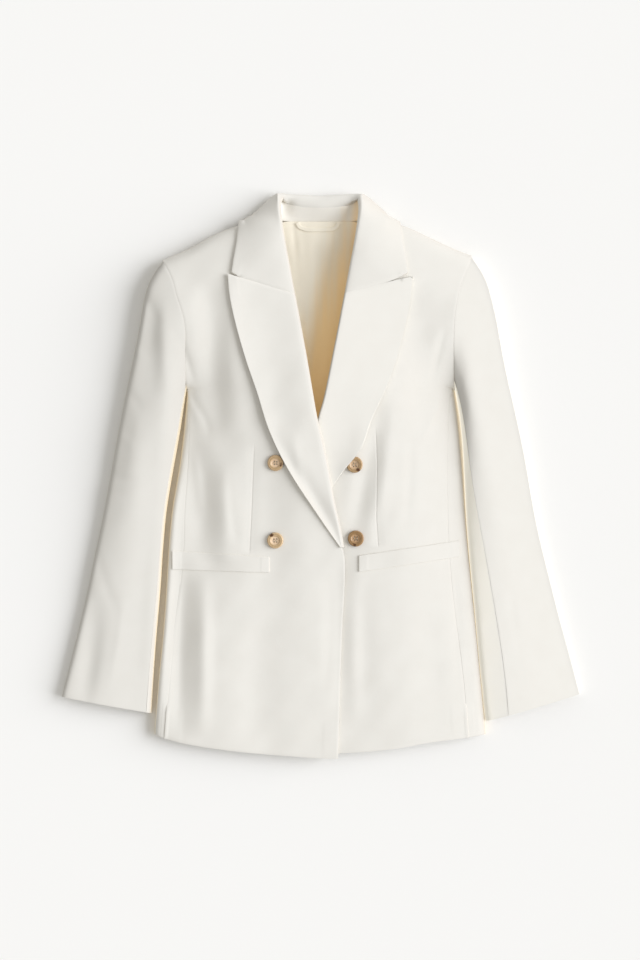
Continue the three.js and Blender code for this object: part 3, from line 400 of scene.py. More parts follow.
class BlazerStageSettings(bpy.types.PropertyGroup):
    """The table, the light and the camera above."""

    table_colour: bpy.props.FloatVectorProperty(
        name="Table", description="Colour of the pale table", subtype="COLOR", size=3,
        min=0, max=1, default=(0.90, 0.895, 0.885))
    key_strength: bpy.props.FloatProperty(
        name="Key light", description="Strength of the key light", min=0, default=3.85)
    key_heading: bpy.props.FloatProperty(
        name="Key heading", description="Where the key light stands, from +X towards +Y",
        subtype="ANGLE", default=math.radians(4))
    key_elevation: bpy.props.FloatProperty(
        name="Key height", description="How high the key light stands", subtype="ANGLE",
        default=math.radians(25))
    key_softness: bpy.props.FloatProperty(
        name="Key size", description="How wide the key light looks from the table", subtype="ANGLE",
        default=math.radians(48))
    fill_strength: bpy.props.FloatProperty(
        name="Fill light", description="Strength of the light from all round", min=0, default=0.535)
    camera_height: bpy.props.FloatProperty(
        name="Camera height", description="Height of the camera above the table", unit="LENGTH",
        subtype="DISTANCE", default=3.2)
    view_length: bpy.props.FloatProperty(
        name="View length", description="Length of table that the picture's height shows",
        unit="LENGTH", subtype="DISTANCE", default=1.2768)
    view_centre: bpy.props.FloatVectorProperty(
        name="View centre", description="Place on the table under the camera", size=2,
        unit="LENGTH", subtype="XYZ", default=(-0.0007, -0.0061))
    table_size: bpy.props.FloatProperty(
        name="Table size", description="Side of the square table", unit="LENGTH",
        subtype="DISTANCE", default=8.0)


def smooth_step(value, low, high):
    """Rises smoothly from 0 at low to 1 at high."""
    share = numpy.clip((value - low) / (high - low), 0, 1)
    return share * share * (3 - 2 * share)


def crease_lift(creases, x, y):
    """How far a table of creases raises the cloth at each place."""
    lift = numpy.zeros_like(x)
    for crease in creases:
        start_x = crease.x0 * MM
        start_y = crease.y0 * MM
        run_x = crease.x1 * MM - start_x
        run_y = crease.y1 * MM - start_y
        length = math.hypot(run_x, run_y)
        along = ((x - start_x) * run_x + (y - start_y) * run_y) / length**2
        along = numpy.clip(along, 0, 1)
        aside = ((y - start_y) * run_x - (x - start_x) * run_y) / length
        aside = aside - crease.bow * MM * 4 * along * (1 - along)
        fade = numpy.sin(math.pi * along) ** 0.8
        lift = lift + crease.rise * MM * fade * numpy.exp(-((aside / (crease.width * MM)) ** 2))
    return lift


def ripple_lift(x, y):
    """The slow unevenness of cloth that lies loose."""
    lift = numpy.zeros_like(x)
    for ripple in RIPPLES:
        heading = math.radians(ripple.heading)
        along = x * math.cos(heading) + y * math.sin(heading)
        lift = lift + ripple.height * MM * numpy.sin(2 * math.pi * along / (ripple.length * MM))
    return lift


def upper_lift(x, y, share):
    """All that raises or sinks the upper side of the blazer."""
    return share * (crease_lift(UPPER_CREASES, x, y) + ripple_lift(x, y))


def press_creases(mesh, share, node):
    """Move a panel's points along its creases and leans, both faces of the cloth together."""
    places = numpy.empty(len(mesh.vertices) * 3, dtype=numpy.float64)
    mesh.vertices.foreach_get("co", places)
    places = places.reshape(-1, 3)
    x, y, z = places.T
    upper = smooth_step(z, UNDER_HEIGHT, OVER_HEIGHT)
    over = upper_lift(x, y, share) + CLEARANCE.get(node, 0) * MM
    over = over + share * crease_lift(OWN_CREASES.get(node, ()), x, y)
    under = share * crease_lift(UNDER_CREASES, x, y)
    places[:, 2] = z + upper * over + (1 - upper) * under
    places[:, 0] = x + share * crease_lift(LEANS.get(node, ()), x, y)
    mesh.vertices.foreach_set("co", places.ravel())
    mesh.update()


def panel_shape(node):
    """A merged copy of a node's solid, with its rims marked to stay crisp."""
    shape = bmesh.new()
    shape.from_mesh(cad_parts[node].data)
    bmesh.ops.remove_doubles(shape, verts=shape.verts, dist=MERGE_DISTANCE)
    bmesh.ops.join_triangles(
        shape, faces=shape.faces, angle_face_threshold=FLAT_JOIN_ANGLE,
        angle_shape_threshold=math.pi)
    shape.normal_update()
    crisp = shape.edges.layers.float.new("crease_edge")
    turned = set(rim_edges(shape))
    for edge in turned:
        edge[crisp] = 1.0
    rim = shape.faces.layers.int.new(RIM_MARK)
    for face in shape.faces:
        face[rim] = sum(edge in turned for edge in face.edges) > 1
    return shape


def rim_edges(shape):
    """The edges where the cloth's face turns into its cut rim."""
    return [
        edge for edge in shape.edges
        if len(edge.link_faces) == 2 and edge.calc_face_angle() > RIM_ANGLE
    ]


def finished_mesh(piece, name):
    """The piece's mesh with its modifiers applied."""
    graph = bpy.context.evaluated_depsgraph_get()
    mesh = bpy.data.meshes.new_from_object(piece.evaluated_get(graph), depsgraph=graph)
    mesh.name = name
    return mesh


def add_piece(mesh, name):
    """An object at the origin that shows a mesh."""
    piece = bpy.data.objects.new(name, mesh)
    bpy.context.scene.collection.objects.link(piece)
    return piece


def widen_rims(shape, reach, node):
    """Move the cut rim outwards, so that the panels meet closely at their seams."""
    shape.normal_update()
    rim = shape.faces.layers.int[RIM_MARK]
    outwards = {}
    for face in (face for face in shape.faces if face[rim]):
        for vert in face.verts:
            outwards[vert] = outwards.get(vert, Vector((0, 0, 0))) + face.normal
    draws = [draw for draw in DRAWN_EDGES if draw.node == node]
    for vert, outward in outwards.items():
        outward = outward.normalized()
        vert.co += outward * reach
        for draw in draws:
            heading = math.radians(draw.heading)
            if outward.dot(Vector((math.cos(heading), math.sin(heading), 0))) > DRAWN_FACING:
                vert.co += outward * draw.reach * MM
                vert.co.z += draw.rise * MM


def round_rims(shape, radius):
    """Round the crisp edges of a cloth rim, as turned cloth is."""
    bmesh.ops.bevel(
        shape, geom=rim_edges(shape), offset=radius, offset_type="OFFSET", segments=2,
        profile=0.5, affect="EDGES", material=-1, clamp_overlap=True)


def near_line(face, start, end, margin):
    """True where a face lies over or under a line on the table, within a margin."""
    middle = face.calc_center_median()
    run = end - start
    along = (middle.xy - start).dot(run) / run.length_squared
    aside = abs((middle.xy - start).cross(run)) / run.length
    slack = margin / run.length
    return -slack < along < 1 + slack and aside < margin


def cut_groove_lines(shape, points):
    """Cut fine rows of faces along a dart, close enough to hold a stitched line."""
    for (x0, y0), (x1, y1) in zip(points, points[1:]):
        start = Vector((x0, y0)) * MM
        end = Vector((x1, y1)) * MM
        side = Vector((start.y - end.y, end.x - start.x, 0)).normalized()
        for step in GROOVE_STEPS:
            faces = [f for f in shape.faces if near_line(f, start, end, GROOVE_MARGIN)]
            edges = list({edge for face in faces for edge in face.edges})
            verts = list({vert for face in faces for vert in face.verts})
            bmesh.ops.bisect_plane(
                shape, geom=verts + edges + faces, dist=GROOVE_MERGE,
                plane_co=start.to_3d() + side * step * MM, plane_no=side)


def distance_to_dart(points, x, y):
    """How far each place is from a dart's line, and how far down the dart it is, from 0 to 1."""
    nearest = numpy.full_like(x, 1.0)
    down = numpy.zeros_like(x)
    legs = list(zip(points, points[1:]))
    lengths = [math.dist(start, end) for start, end in legs]
    passed = 0.0
    for (start, end), length in zip(legs, lengths):
        run_x = (end[0] - start[0]) * MM
        run_y = (end[1] - start[1]) * MM
        along = ((x - start[0] * MM) * run_x + (y - start[1] * MM) * run_y) / (length * MM) ** 2
        along = numpy.clip(along, 0, 1)
        away = numpy.hypot(x - start[0] * MM - along * run_x, y - start[1] * MM - along * run_y)
        closer = away < nearest
        nearest = numpy.where(closer, away, nearest)
        down = numpy.where(closer, (passed + along * length) / sum(lengths), down)
        passed += length
    return nearest, down


def press_dart(mesh, points, cloth):
    """Sink a dart's stitched line and the cloth on its two sides."""
    places = numpy.empty(len(mesh.vertices) * 3, dtype=numpy.float64)
    mesh.vertices.foreach_get("co", places)
    places = places.reshape(-1, 3)
    x, y, z = places.T
    away, down = distance_to_dart(points, x, y)
    ends = smooth_step(down, 0.0, DART_START) * (1 - smooth_step(down, DART_END, 1.0))
    line = cloth.dart_depth * numpy.exp(-((away / cloth.dart_width) ** 2))
    fold = cloth.dart_fold * numpy.exp(-((away / DART_FOLD_WIDTH) ** 2))
    places[:, 2] = z - ends * (line + fold)
    mesh.vertices.foreach_set("co", places.ravel())
    mesh.update()


def make_panel(panel, material):
    """Dress one panel: a smooth thin shell on its solid, with its darts and creases."""
    cloth = bpy.context.scene.blazer_cloth
    shape = panel_shape(panel.node)
    draft = bpy.data.meshes.new(panel.node + "_draft")
    shape.to_mesh(draft)
    shape.free()
    holder = add_piece(draft, panel.node + "_draft")
    rounding = holder.modifiers.new("Rounding", "SUBSURF")
    rounding.levels = panel.detail
    rounding.render_levels = panel.detail
    mesh = finished_mesh(holder, panel.node + "_cloth")
    bpy.data.objects.remove(holder)
    bpy.data.meshes.remove(draft)

    shape = bmesh.new()
    shape.from_mesh(mesh)
    widen_rims(shape, cloth.seam_closing, panel.node)
    round_rims(shape, cloth.rim_radius)
    darts = [dart for dart in DARTS if dart.node == panel.node]
    for dart in darts:
        cut_groove_lines(shape, dart.points)
    shape.to_mesh(mesh)
    shape.free()
    for dart in darts:
        press_dart(mesh, dart.points, cloth)
    press_creases(mesh, cloth.crease_share, panel.node)
    mesh.shade_smooth()
    mesh.materials.clear()
    mesh.materials.append(material)

    piece = add_piece(mesh, panel.node + "_cloth")
    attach(piece, BODY)
    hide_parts(panel.node)
    return piece


def feed(tree, node, inputs):
    """Give each input of a node its value, or link it to the socket that feeds it."""
    for name, value in inputs.items():
        if isinstance(value, bpy.types.NodeSocket):
            tree.links.new(value, node.inputs[name])
        else:
            node.inputs[name].default_value = value


def add_node(tree, kind, inputs=None, **settings):
    """A new shader node with its settings and inputs."""
    node = tree.nodes.new("ShaderNode" + kind)
    for name, value in settings.items():
        setattr(node, name, value)
    feed(tree, node, inputs or {})
    return node


def map_range(tree, value, low, high, to_low=0.0, to_high=1.0, ease="LINEAR"):
    """A value brought from one range to another, or to a mask from 0 to 1."""
    inputs = {"Value": value, "From Min": low, "From Max": high, "To Min": to_low, "To Max": to_high}
    return add_node(tree, "MapRange", inputs, interpolation_type=ease).outputs["Result"]


def mix_tones(tree, mask, first, second, blend_type="MIX"):
    """Two colours mixed by a mask."""
    inputs = {"Factor": mask, "A": first, "B": second}
    node = add_node(tree, "Mix", inputs, data_type="RGBA", blend_type=blend_type)
    return node.outputs["Result"]


def add_relief(tree, height, strength, distance):
    """A normal that follows a height."""
    inputs = {"Height": height, "Strength": strength, "Distance": distance}
    return add_node(tree, "Bump", inputs).outputs["Normal"]


def tinted(colour, share=1.0):
    """A share of a colour, as a node takes it."""
    return (*[share * part for part in colour], 1)


def own_place(tree):
    """The place on the piece itself, in metres."""
    return add_node(tree, "TexCoord").outputs["Object"]


def new_material(name):
    """An empty node material, its tree of nodes and its shader."""
    material = bpy.data.materials.new(name)
    material.use_nodes = True
    tree = material.node_tree
    tree.nodes.clear()
    shader = add_node(tree, "BsdfPrincipled")
    add_node(tree, "OutputMaterial", {"Surface": shader.outputs["BSDF"]})
    return material, tree, shader


def yarn_weave_group():
    """Crepe yarn: fine diagonal ribs and pebbles as a height, and a slow drift of tone."""
    tree = bpy.data.node_groups.get("yarn_weave")
    if tree:
        return tree
    tree = bpy.data.node_groups.new("yarn_weave", "ShaderNodeTree")
    pitch = tree.interface.new_socket("Pitch", in_out="INPUT", socket_type="NodeSocketFloat")
    pitch.default_value = 0.45 * MM
    for name in ("Height", "Tone"):
        tree.interface.new_socket(name, in_out="OUTPUT", socket_type="NodeSocketFloat")
    given = tree.nodes.new("NodeGroupInput")
    result = tree.nodes.new("NodeGroupOutput")
    place = own_place(tree)
    per_metre = add_node(tree, "Math", {0: 1.0, 1: given.outputs["Pitch"]}, operation="DIVIDE")
    pebble = add_node(tree, "TexNoise", {
        "Vector": place, "Scale": per_metre.outputs[0], "Detail": 3, "Roughness": 0.6})
    rib_scale = add_node(tree, "Math", {0: per_metre.outputs[0], 1: 0.3}, operation="MULTIPLY")
    rib = add_node(tree, "TexWave", {
        "Vector": place, "Scale": rib_scale.outputs[0], "Distortion": 1.5, "Detail": 1,
    }, bands_direction="DIAGONAL")
    both = add_node(
        tree, "Math", {0: rib.outputs["Fac"], 1: 0.5, 2: pebble.outputs["Fac"]},
        operation="MULTIPLY_ADD")
    drift = add_node(tree, "TexNoise", {"Vector": place, "Scale": 42, "Detail": 4})
    feed(tree, result, {"Height": both.outputs[0], "Tone": drift.outputs["Fac"]})
    return tree


def add_weave(tree, pitch):
    """The yarn's height and drift of tone, at a material's own pitch."""
    weave = add_node(tree, "Group", {"Pitch": pitch}, node_tree=yarn_weave_group())
    return weave.outputs["Height"], weave.outputs["Tone"]


def cloth_material(node):
    """Cream crepe: matt with a soft sheen and fine uneven yarn; painted shade on its slopes and where it
    faces the light, and a painted golden shade and glow beside a deep gap.
    """
    look = LOOKS.get(node, PLAIN)
    if look.name in bpy.data.materials:
        return bpy.data.materials[look.name]
    cloth = bpy.context.scene.blazer_cloth
    material, tree, shader = new_material(look.name)
    height, drift = add_weave(tree, cloth.yarn_pitch)
    tone = mix_tones(
        tree, drift, tinted(cloth.cloth_colour, look.light), tinted(cloth.slub_colour, look.light))
    surface = add_node(tree, "NewGeometry")
    upright = add_node(tree, "SeparateXYZ", {"Vector": surface.outputs["Normal"]})
    # Painted shade: the more a face turns sideways, the more it takes the look's side colour; beside a gap
    # only the faces turned to the gap.
    slope = map_range(tree, upright.outputs["Z"], look.side_from, 0.0, ease="SMOOTHSTEP")
    if look.heading:
        low, high = (look.heading * facing for facing in GAP_FACING)
        slope = map_range(tree, upright.outputs["X"], low, high, to_high=slope, ease="SMOOTHSTEP")
    side = tinted(getattr(cloth, look.side))
    warm = mix_tones(tree, slope, tone, side)
    # Painted dimming of the faces turned towards +X, where the key light falls, to hold down their
    # highlight; less so the more evenly the look is lit.
    lit = map_range(tree, upright.outputs["X"], *PAINTED_DIM_FACING)
    kept = [1 - (1 - part) * (1 - look.evened) for part in cloth.painted_dim_to_light]
    painted_dimmed = mix_tones(tree, lit, warm, tinted(kept), "MULTIPLY")
    normal = add_relief(tree, height, strength=0.3, distance=0.12 * MM)
    if look.evened:
        level = map_range(tree, upright.outputs["Z"], 0.0, LEVEL_FACING, to_high=look.evened)
        evened = add_node(tree, "Mix", {0: level, 4: normal, 5: (0, 0, 1)}, data_type="VECTOR")
        normal = evened.outputs[1]
    feed(tree, shader, {
        "Base Color": painted_dimmed, "Normal": normal,
        "Roughness": map_range(tree, height, 0, 1, to_low=0.78, to_high=0.92),
        "Specular IOR Level": 0.25, "Sheen Weight": 0.15, "Sheen Roughness": 0.5})
    # A painted glow on the slopes beside a gap, in the side colour, for the light that comes through the
    # cloth.
    if look.heading:
        glow = mix_tones(tree, slope, BLACK, side)
        feed(tree, shader, {"Emission Color": glow, "Emission Strength": look.glow})
    return material


def lining_material(name, colour):
    """Smooth cloth inside the blazer, with fine upright yarn, a painted golden shade deep between the fronts
    and a painted glow.
    """
    if name in bpy.data.materials:
        return bpy.data.materials[name]
    cloth = bpy.context.scene.blazer_cloth
    material, tree, shader = new_material(name)
    height, drift = add_weave(tree, 0.5 * cloth.yarn_pitch)
    tone = mix_tones(tree, drift, tinted(colour), tinted(colour, 0.94))
    # A painted golden shade, deeper towards +X and the bottom of the neck opening in upright streaks, and a
    # painted glow.
    place = own_place(tree)
    towards = add_node(tree, "VectorMath", {0: place, 1: DEEP_RISE}, operation="DOT_PRODUCT")
    drawn = add_node(tree, "VectorMath", {0: place, 1: FOLD_SHARE}, operation="MULTIPLY")
    folds = add_node(tree, "TexNoise", {"Vector": drawn.outputs[0], "Scale": 75, "Detail": 1})
    painted_shade_streaks = add_node(
        tree, "Math", {0: folds.outputs["Fac"], 1: 0.6, 2: towards.outputs["Value"]},
        operation="MULTIPLY_ADD")
    deep = map_range(tree, painted_shade_streaks.outputs[0], *DEEP_RANGE, ease="SMOOTHSTEP")
    feed(tree, shader, {
        "Base Color": mix_tones(tree, deep, tone, tinted(cloth.painted_deep_lining_shade)),
        "Emission Color": mix_tones(tree, deep, tinted(GLOW_TONE), tinted(DEEP_GLOW_TONE)),
        "Emission Strength": cloth.painted_glow_strength,
        "Normal": add_relief(tree, height, strength=0.15, distance=0.05 * MM),
        "Roughness": map_range(tree, height, 0, 1, to_low=0.38, to_high=0.52),
        "Specular IOR Level": 0.4})
    return material


def horn_material():
    """Polished horn: a tan rim with a dark brown patch round a pinkish dish; on one button the patch is
    painted shadow.
    """
    if "pale_horn" in bpy.data.materials:
        return bpy.data.materials["pale_horn"]
    button = bpy.context.scene.blazer_buttons
    material, tree, shader = new_material("pale_horn")
    place = own_place(tree)
    rim, spot, depth = (
        add_node(tree, "Attribute", attribute_name=name).outputs["Fac"]
        for name in ("rim", "spot", "depth"))
    grain = add_node(
        tree, "TexNoise", {"Vector": place, "Scale": 420, "Detail": 5, "Distortion": 1.2})
    cloud = add_node(tree, "TexNoise", {"Vector": place, "Scale": 260, "Detail": 2})
    tone = mix_tones(tree, rim, tinted(button.dish_colour), tinted(button.horn_colour))
    streaks = map_range(tree, grain.outputs["Fac"], 0.45, 0.75)
    streaked = mix_tones(tree, streaks, tone, tinted(STREAK_SHADE), "MULTIPLY")
    deep = mix_tones(tree, depth, streaked, tinted(button.deep_shade), "MULTIPLY")
    ragged = add_node(tree, "Math", {0: cloud.outputs["Fac"], 1: spot}, operation="ADD")
    spots = map_range(tree, ragged.outputs[0], 1.12, 1.3)
    feed(tree, shader, {
        "Base Color": mix_tones(tree, spots, deep, tinted(button.spot_colour)),
        "Roughness": map_range(tree, grain.outputs["Fac"], 0, 1, to_low=0.26, to_high=0.42),
        "Specular IOR Level": 0.5})
    return material


def thread_material():
    """Twisted cotton thread."""
    if "button_thread" in bpy.data.materials:
        return bpy.data.materials["button_thread"]
    colour = bpy.context.scene.blazer_buttons.thread_colour
    material, tree, shader = new_material("button_thread")
    twist = add_node(
        tree, "TexWave", {"Vector": own_place(tree), "Scale": 900}, bands_direction="DIAGONAL")
    feed(tree, shader, {
        "Base Color": mix_tones(tree, twist.outputs["Fac"], tinted(colour), tinted(colour, 0.8)),
        "Normal": add_relief(tree, twist.outputs["Fac"], strength=0.4, distance=0.05 * MM),
        "Roughness": 0.7})
    return material


def table_material():
    """A pale painted table top with a faint mottle."""
    colour = bpy.context.scene.blazer_stage.table_colour
    material, tree, shader = new_material("pale_table")
    mottle = add_node(tree, "TexNoise", {"Vector": own_place(tree), "Scale": 3})
    feed(tree, shader, {
        "Base Color": mix_tones(tree, mottle.outputs["Fac"], tinted(colour), tinted(colour, 0.995)),
        "Roughness": 0.95, "Specular IOR Level": 0.1})
    return material


def dress_panels(panels):
    """Dress a group of crepe panels for an operator."""
    for panel in panels:
        make_panel(panel, cloth_material(panel.node))
    return {"FINISHED"}


class BLAZER_OT_body(bpy.types.Operator):
    """Dress the back, the fronts and the side panels"""

    bl_idname = "blazer.body"
    bl_label = "Body"

    def execute(self, context):
        return dress_panels(BODY_PANELS)


class BLAZER_OT_sleeves(bpy.types.Operator):
    """Dress the top and under halves of both sleeves"""

    bl_idname = "blazer.sleeves"
    bl_label = "Sleeves"

    def execute(self, context):
        return dress_panels(SLEEVE_PANELS)


class BLAZER_OT_lapels(bpy.types.Operator):
    """Dress the two peak lapels"""

    bl_idname = "blazer.lapels"
    bl_label = "Lapels"

    def execute(self, context):
        return dress_panels(LAPEL_PANELS)


class BLAZER_OT_collar(bpy.types.Operator):
    """Dress the collar and its stand"""

    bl_idname = "blazer.collar"
    bl_label = "Collar"

    def execute(self, context):
        cloth = context.scene.blazer_cloth
        # The stand takes the lining's painted golden shade and glow, in the cloth's own colour.
        inside = lining_material("cream_inside", cloth.cloth_colour)
        for panel in COLLAR_PANELS:
            on_stand = panel.node == "collar_stand"
            make_panel(panel, inside if on_stand else cloth_material(panel.node))
        return {"FINISHED"}


class BLAZER_OT_pockets(bpy.types.Operator):
    """Dress the welts of the two pockets"""

    bl_idname = "blazer.pockets"
    bl_label = "Pocket welts"

    def execute(self, context):
        return dress_panels(WELT_PANELS)


class BLAZER_OT_lining(bpy.types.Operator):
    """Dress the back lining and the hanger loop"""

    bl_idname = "blazer.lining"
    bl_label = "Lining and loop"

    def execute(self, context):
        satin = lining_material("cream_satin", context.scene.blazer_cloth.lining_colour)
        for panel in LINING_PANELS:
            make_panel(panel, satin)
        return {"FINISHED"}


def button_shape(settings):
    """A turned button with a rounded rim and a dish, standing on the origin."""
    shape = bmesh.new()
    rim = shape.verts.layers.float.new("rim")
    section = [shape.verts.new((turn.radius * MM, 0, turn.height * MM)) for turn in BUTTON_SECTION]
    for vert, turn in zip(section, BUTTON_SECTION):
        vert[rim] = turn.rim
    edges = [shape.edges.new(pair) for pair in zip(section, section[1:])]
    bmesh.ops.spin(
        shape, geom=section + edges, cent=(0, 0, 0), axis=(0, 0, 1), dvec=(0, 0, 0),
        angle=2 * math.pi, steps=settings.sides, use_merge=True)
    bmesh.ops.remove_doubles(shape, verts=shape.verts, dist=0.002 * MM)
    bmesh.ops.recalc_face_normals(shape, faces=shape.faces)
    return shape


def hole_places(settings):
    """The middles of the four sewing holes."""
    for quarter in range(4):
        angle = math.radians(45 + 90 * quarter)
        yield Vector((settings.hole_reach * math.cos(angle), settings.hole_reach * math.sin(angle), 0))


def paint_horn(mesh, heading, depth):
    """Mark the dark stretch of rim and the depth of the horn's tone as attributes from 0 to 1."""
    for tone in mesh.attributes.new("depth", "FLOAT", "POINT").data:
        tone.value = depth
    spot = mesh.attributes.new("spot", "FLOAT", "POINT")
    rim = mesh.attributes["rim"].data
    for vert, shade, mark in zip(mesh.vertices, rim, spot.data):
        bearing = math.degrees(math.atan2(vert.co.y, vert.co.x))
        away = abs((bearing - heading + 180) % 360 - 180) / SPOT_SPREAD
        mark.value = shade.value * math.exp(-(away**2))


def drilled_button(settings):
    """The button's mesh with its four holes cut through."""
    shape = button_shape(settings)
    blank = bpy.data.meshes.new("button_blank")
    shape.to_mesh(blank)
    shape.free()
    shape = bmesh.new()
    for place in hole_places(settings):
        bmesh.ops.create_cone(
            shape, cap_ends=True, segments=20, radius1=settings.hole_radius,
            radius2=settings.hole_radius, depth=DRILL_LENGTH, matrix=Matrix.Translation(place))
    drill = bpy.data.meshes.new("button_drill")
    shape.to_mesh(drill)
    shape.free()
    button = add_piece(blank, "button_blank")
    cutter = add_piece(drill, "button_drill")
    holes = button.modifiers.new("Holes", "BOOLEAN")
    holes.operation = "DIFFERENCE"
    holes.solver = "EXACT"
    holes.object = cutter
    mesh = finished_mesh(button, "horn_button")
    for spare in (button, cutter):
        spare_mesh = spare.data
        bpy.data.objects.remove(spare)
        bpy.data.meshes.remove(spare_mesh)
    return mesh


def button_seat(node):
    """Where a button stands: its base's middle, and the way it faces."""
    shape = bmesh.new()
    shape.from_mesh(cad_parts[node].data)
    facing = Vector((0, 0, 0))
    for face in shape.faces:
        if face.normal.z < -0.9:
            facing -= face.normal * face.calc_area()
    shape.free()
    low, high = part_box(node)
    middle = 0.5 * (Vector(low) + Vector(high))
    facing.normalize()
    thickness = max(turn.height for turn in BUTTON_SECTION) * MM
    return middle - facing * thickness / 2, facing


def seat_matrix(node):
    """The turn and place that set a button on its front."""
    share = bpy.context.scene.blazer_cloth.crease_share
    base, facing = button_seat(node)
    lift = upper_lift(numpy.array([base.x]), numpy.array([base.y]), share)[0]
    turn = Vector((0, 0, 1)).rotation_difference(facing).to_matrix().to_4x4()
    return Matrix.Translation(base + Vector((0, 0, lift))) @ turn


class BLAZER_OT_buttons(bpy.types.Operator):
    """Turn the four horn buttons and set them on the fronts"""

    bl_idname = "blazer.buttons"
    bl_label = "Buttons"

    def execute(self, context):
        pattern = drilled_button(context.scene.blazer_buttons)
        for node, spot_heading, depth in BUTTONS:
            mesh = pattern.copy()
            mesh.name = node + "_horn"
            paint_horn(mesh, spot_heading, depth)
            mesh.transform(seat_matrix(node))
            mesh.shade_smooth()
            mesh.materials.clear()
            mesh.materials.append(horn_material())
            piece = add_piece(mesh, node + "_horn")
            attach(piece, BODY)
            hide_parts(node)
        bpy.data.meshes.remove(pattern)
        return {"FINISHED"}


def strand_mesh(settings, x, bend):
    """One strand of thread that leaves a hole, crosses the dish and goes down the next hole."""
    reach = settings.hole_reach * math.sin(math.radians(45))
    curve = bpy.data.curves.new("strand", "CURVE")
    curve.dimensions = "3D"
    curve.bevel_depth = settings.thread_radius
    curve.bevel_resolution = 3
    curve.resolution_u = 6
    curve.use_fill_caps = True
    spline = curve.splines.new("NURBS")
    spline.use_endpoint_u = True
    spline.order_u = 4
    bend_height = DISH_HEIGHT + 1.5 * settings.thread_radius
    route = (
        (-reach, THREAD_FOOT), (-reach, DISH_HEIGHT), (-0.86 * reach, bend_height),
        (0, DISH_HEIGHT + 2.2 * settings.thread_radius),
        (0.86 * reach, bend_height), (reach, DISH_HEIGHT), (reach, THREAD_FOOT))
    spline.points.add(len(route) - 1)
    for point, (along, height) in zip(spline.points, route):
        side = x + bend * (1 - (along / reach) ** 2)
        point.co = (side, along, height, 1)
    holder = bpy.data.objects.new("strand", curve)
    bpy.context.scene.collection.objects.link(holder)
    mesh = finished_mesh(holder, "strand")
    bpy.data.objects.remove(holder)
    bpy.data.curves.remove(curve)
    return mesh


class BLAZER_OT_thread(bpy.types.Operator):
    """Sew each button on with two pairs of strands"""

    bl_idname = "blazer.thread"
    bl_label = "Button thread"

    def execute(self, context):
        settings = context.scene.blazer_buttons
        reach = settings.hole_reach * math.cos(math.radians(45))
        gap = 0.9 * settings.thread_radius
        shape = bmesh.new()
        for button in BUTTONS:
            place = seat_matrix(button.node)
            for side in (-reach, reach):
                for offset in (-gap, gap):
                    strand = strand_mesh(settings, side + offset, 0.4 * offset)
                    strand.transform(place)
                    shape.from_mesh(strand)
                    bpy.data.meshes.remove(strand)
        mesh = bpy.data.meshes.new("button_thread")
        shape.to_mesh(mesh)
        shape.free()
        mesh.shade_smooth()
        mesh.materials.append(thread_material())
        piece = add_piece(mesh, "button_thread")
        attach(piece, BODY)
        return {"FINISHED"}


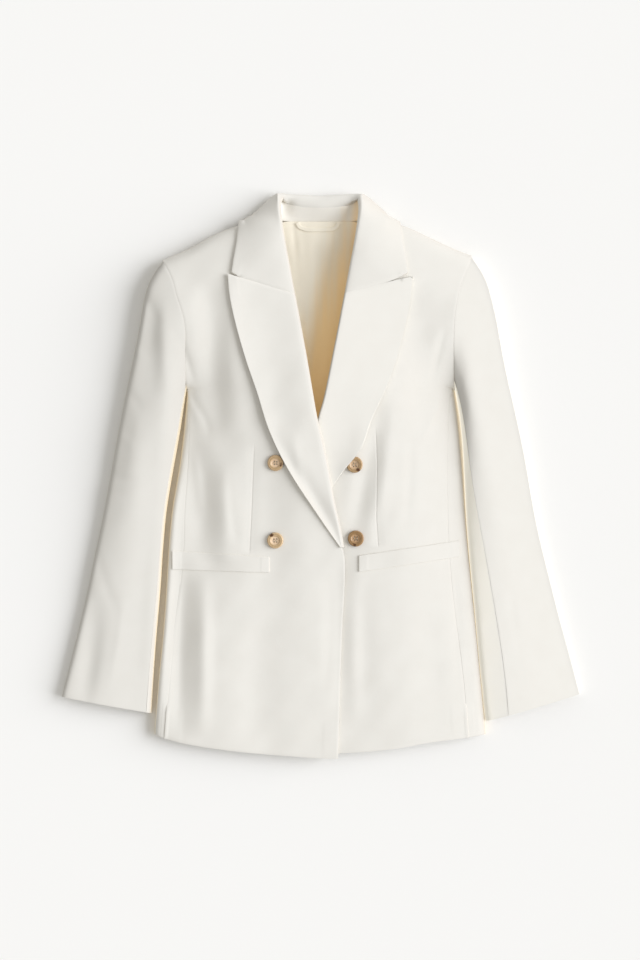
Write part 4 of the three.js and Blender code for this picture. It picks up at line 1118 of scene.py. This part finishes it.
class BLAZER_OT_stage(bpy.types.Operator):
    """Lay the table, set up the light and put the camera straight above"""

    bl_idname = "blazer.stage"
    bl_label = "Table, light and camera"

    def execute(self, context):
        scene = context.scene
        stage = scene.blazer_stage
        shape = bmesh.new()
        bmesh.ops.create_grid(
            shape, x_segments=1, y_segments=1, size=0.5 * stage.table_size,
            matrix=Matrix.Translation((0, 0, -0.1 * MM)))
        mesh = bpy.data.meshes.new("table")
        shape.to_mesh(mesh)
        shape.free()
        mesh.materials.append(table_material())
        add_piece(mesh, "table")

        key = bpy.data.lights.new("key", "SUN")
        key.energy = stage.key_strength
        key.angle = stage.key_softness
        key.color = KEY_TINT
        lamp = bpy.data.objects.new("key", key)
        flat = math.cos(stage.key_elevation)
        stands = Vector((
            flat * math.cos(stage.key_heading), flat * math.sin(stage.key_heading),
            math.sin(stage.key_elevation)))
        lamp.rotation_euler = stands.to_track_quat("Z", "Y").to_euler()
        lamp.location = 3 * stands
        scene.collection.objects.link(lamp)

        world = bpy.data.worlds.new("studio")
        world.use_nodes = True
        sky = world.node_tree.nodes["Background"]
        sky.inputs["Color"].default_value = tinted(SKY_TINT)
        sky.inputs["Strength"].default_value = stage.fill_strength
        scene.world = world

        lens = bpy.data.cameras.new("camera")
        lens.sensor_width = 36
        lens.lens = lens.sensor_width * stage.camera_height / stage.view_length
        lens.clip_start = 0.05
        lens.clip_end = 30
        camera = bpy.data.objects.new("camera", lens)
        camera.location = (*stage.view_centre, stage.camera_height + 20 * MM)
        scene.collection.objects.link(camera)
        scene.camera = camera
        scene.view_settings.view_transform = "Standard"
        scene.view_settings.look = "None"
        return {"FINISHED"}


class BLAZER_PT_sidebar(bpy.types.Panel):
    """The blazer's pieces, sizes and colours"""

    bl_idname = "BLAZER_PT_sidebar"
    bl_label = "Blazer"
    bl_space_type = "VIEW_3D"
    bl_region_type = "UI"
    bl_category = "Blazer"

    def draw(self, context):
        for operator in OPERATORS:
            self.layout.operator(operator.bl_idname)
        for settings in (
            context.scene.blazer_cloth, context.scene.blazer_buttons, context.scene.blazer_stage
        ):
            box = self.layout.box()
            for name in settings.__annotations__:
                box.prop(settings, name)


SETTINGS = {
    "blazer_cloth": BlazerClothSettings,
    "blazer_buttons": BlazerButtonSettings,
    "blazer_stage": BlazerStageSettings,
}
OPERATORS = (
    BLAZER_OT_stage,
    BLAZER_OT_body,
    BLAZER_OT_sleeves,
    BLAZER_OT_lapels,
    BLAZER_OT_collar,
    BLAZER_OT_pockets,
    BLAZER_OT_lining,
    BLAZER_OT_buttons,
    BLAZER_OT_thread,
)


def register():
    """Make the settings, operators and panel known to Blender."""
    for name, settings in SETTINGS.items():
        bpy.utils.register_class(settings)
        setattr(bpy.types.Scene, name, bpy.props.PointerProperty(type=settings))
    for operator in OPERATORS:
        bpy.utils.register_class(operator)
    bpy.utils.register_class(BLAZER_PT_sidebar)


def unregister():
    """Take them out again."""
    bpy.utils.unregister_class(BLAZER_PT_sidebar)
    for operator in reversed(OPERATORS):
        bpy.utils.unregister_class(operator)
    for name, settings in reversed(SETTINGS.items()):
        delattr(bpy.types.Scene, name)
        bpy.utils.unregister_class(settings)


def main():
    """Make every piece in order."""
    register()
    for operator in OPERATORS:
        group, name = operator.bl_idname.split(".")
        getattr(getattr(bpy.ops, group), name)()


if __name__ == "__main__":
    main()
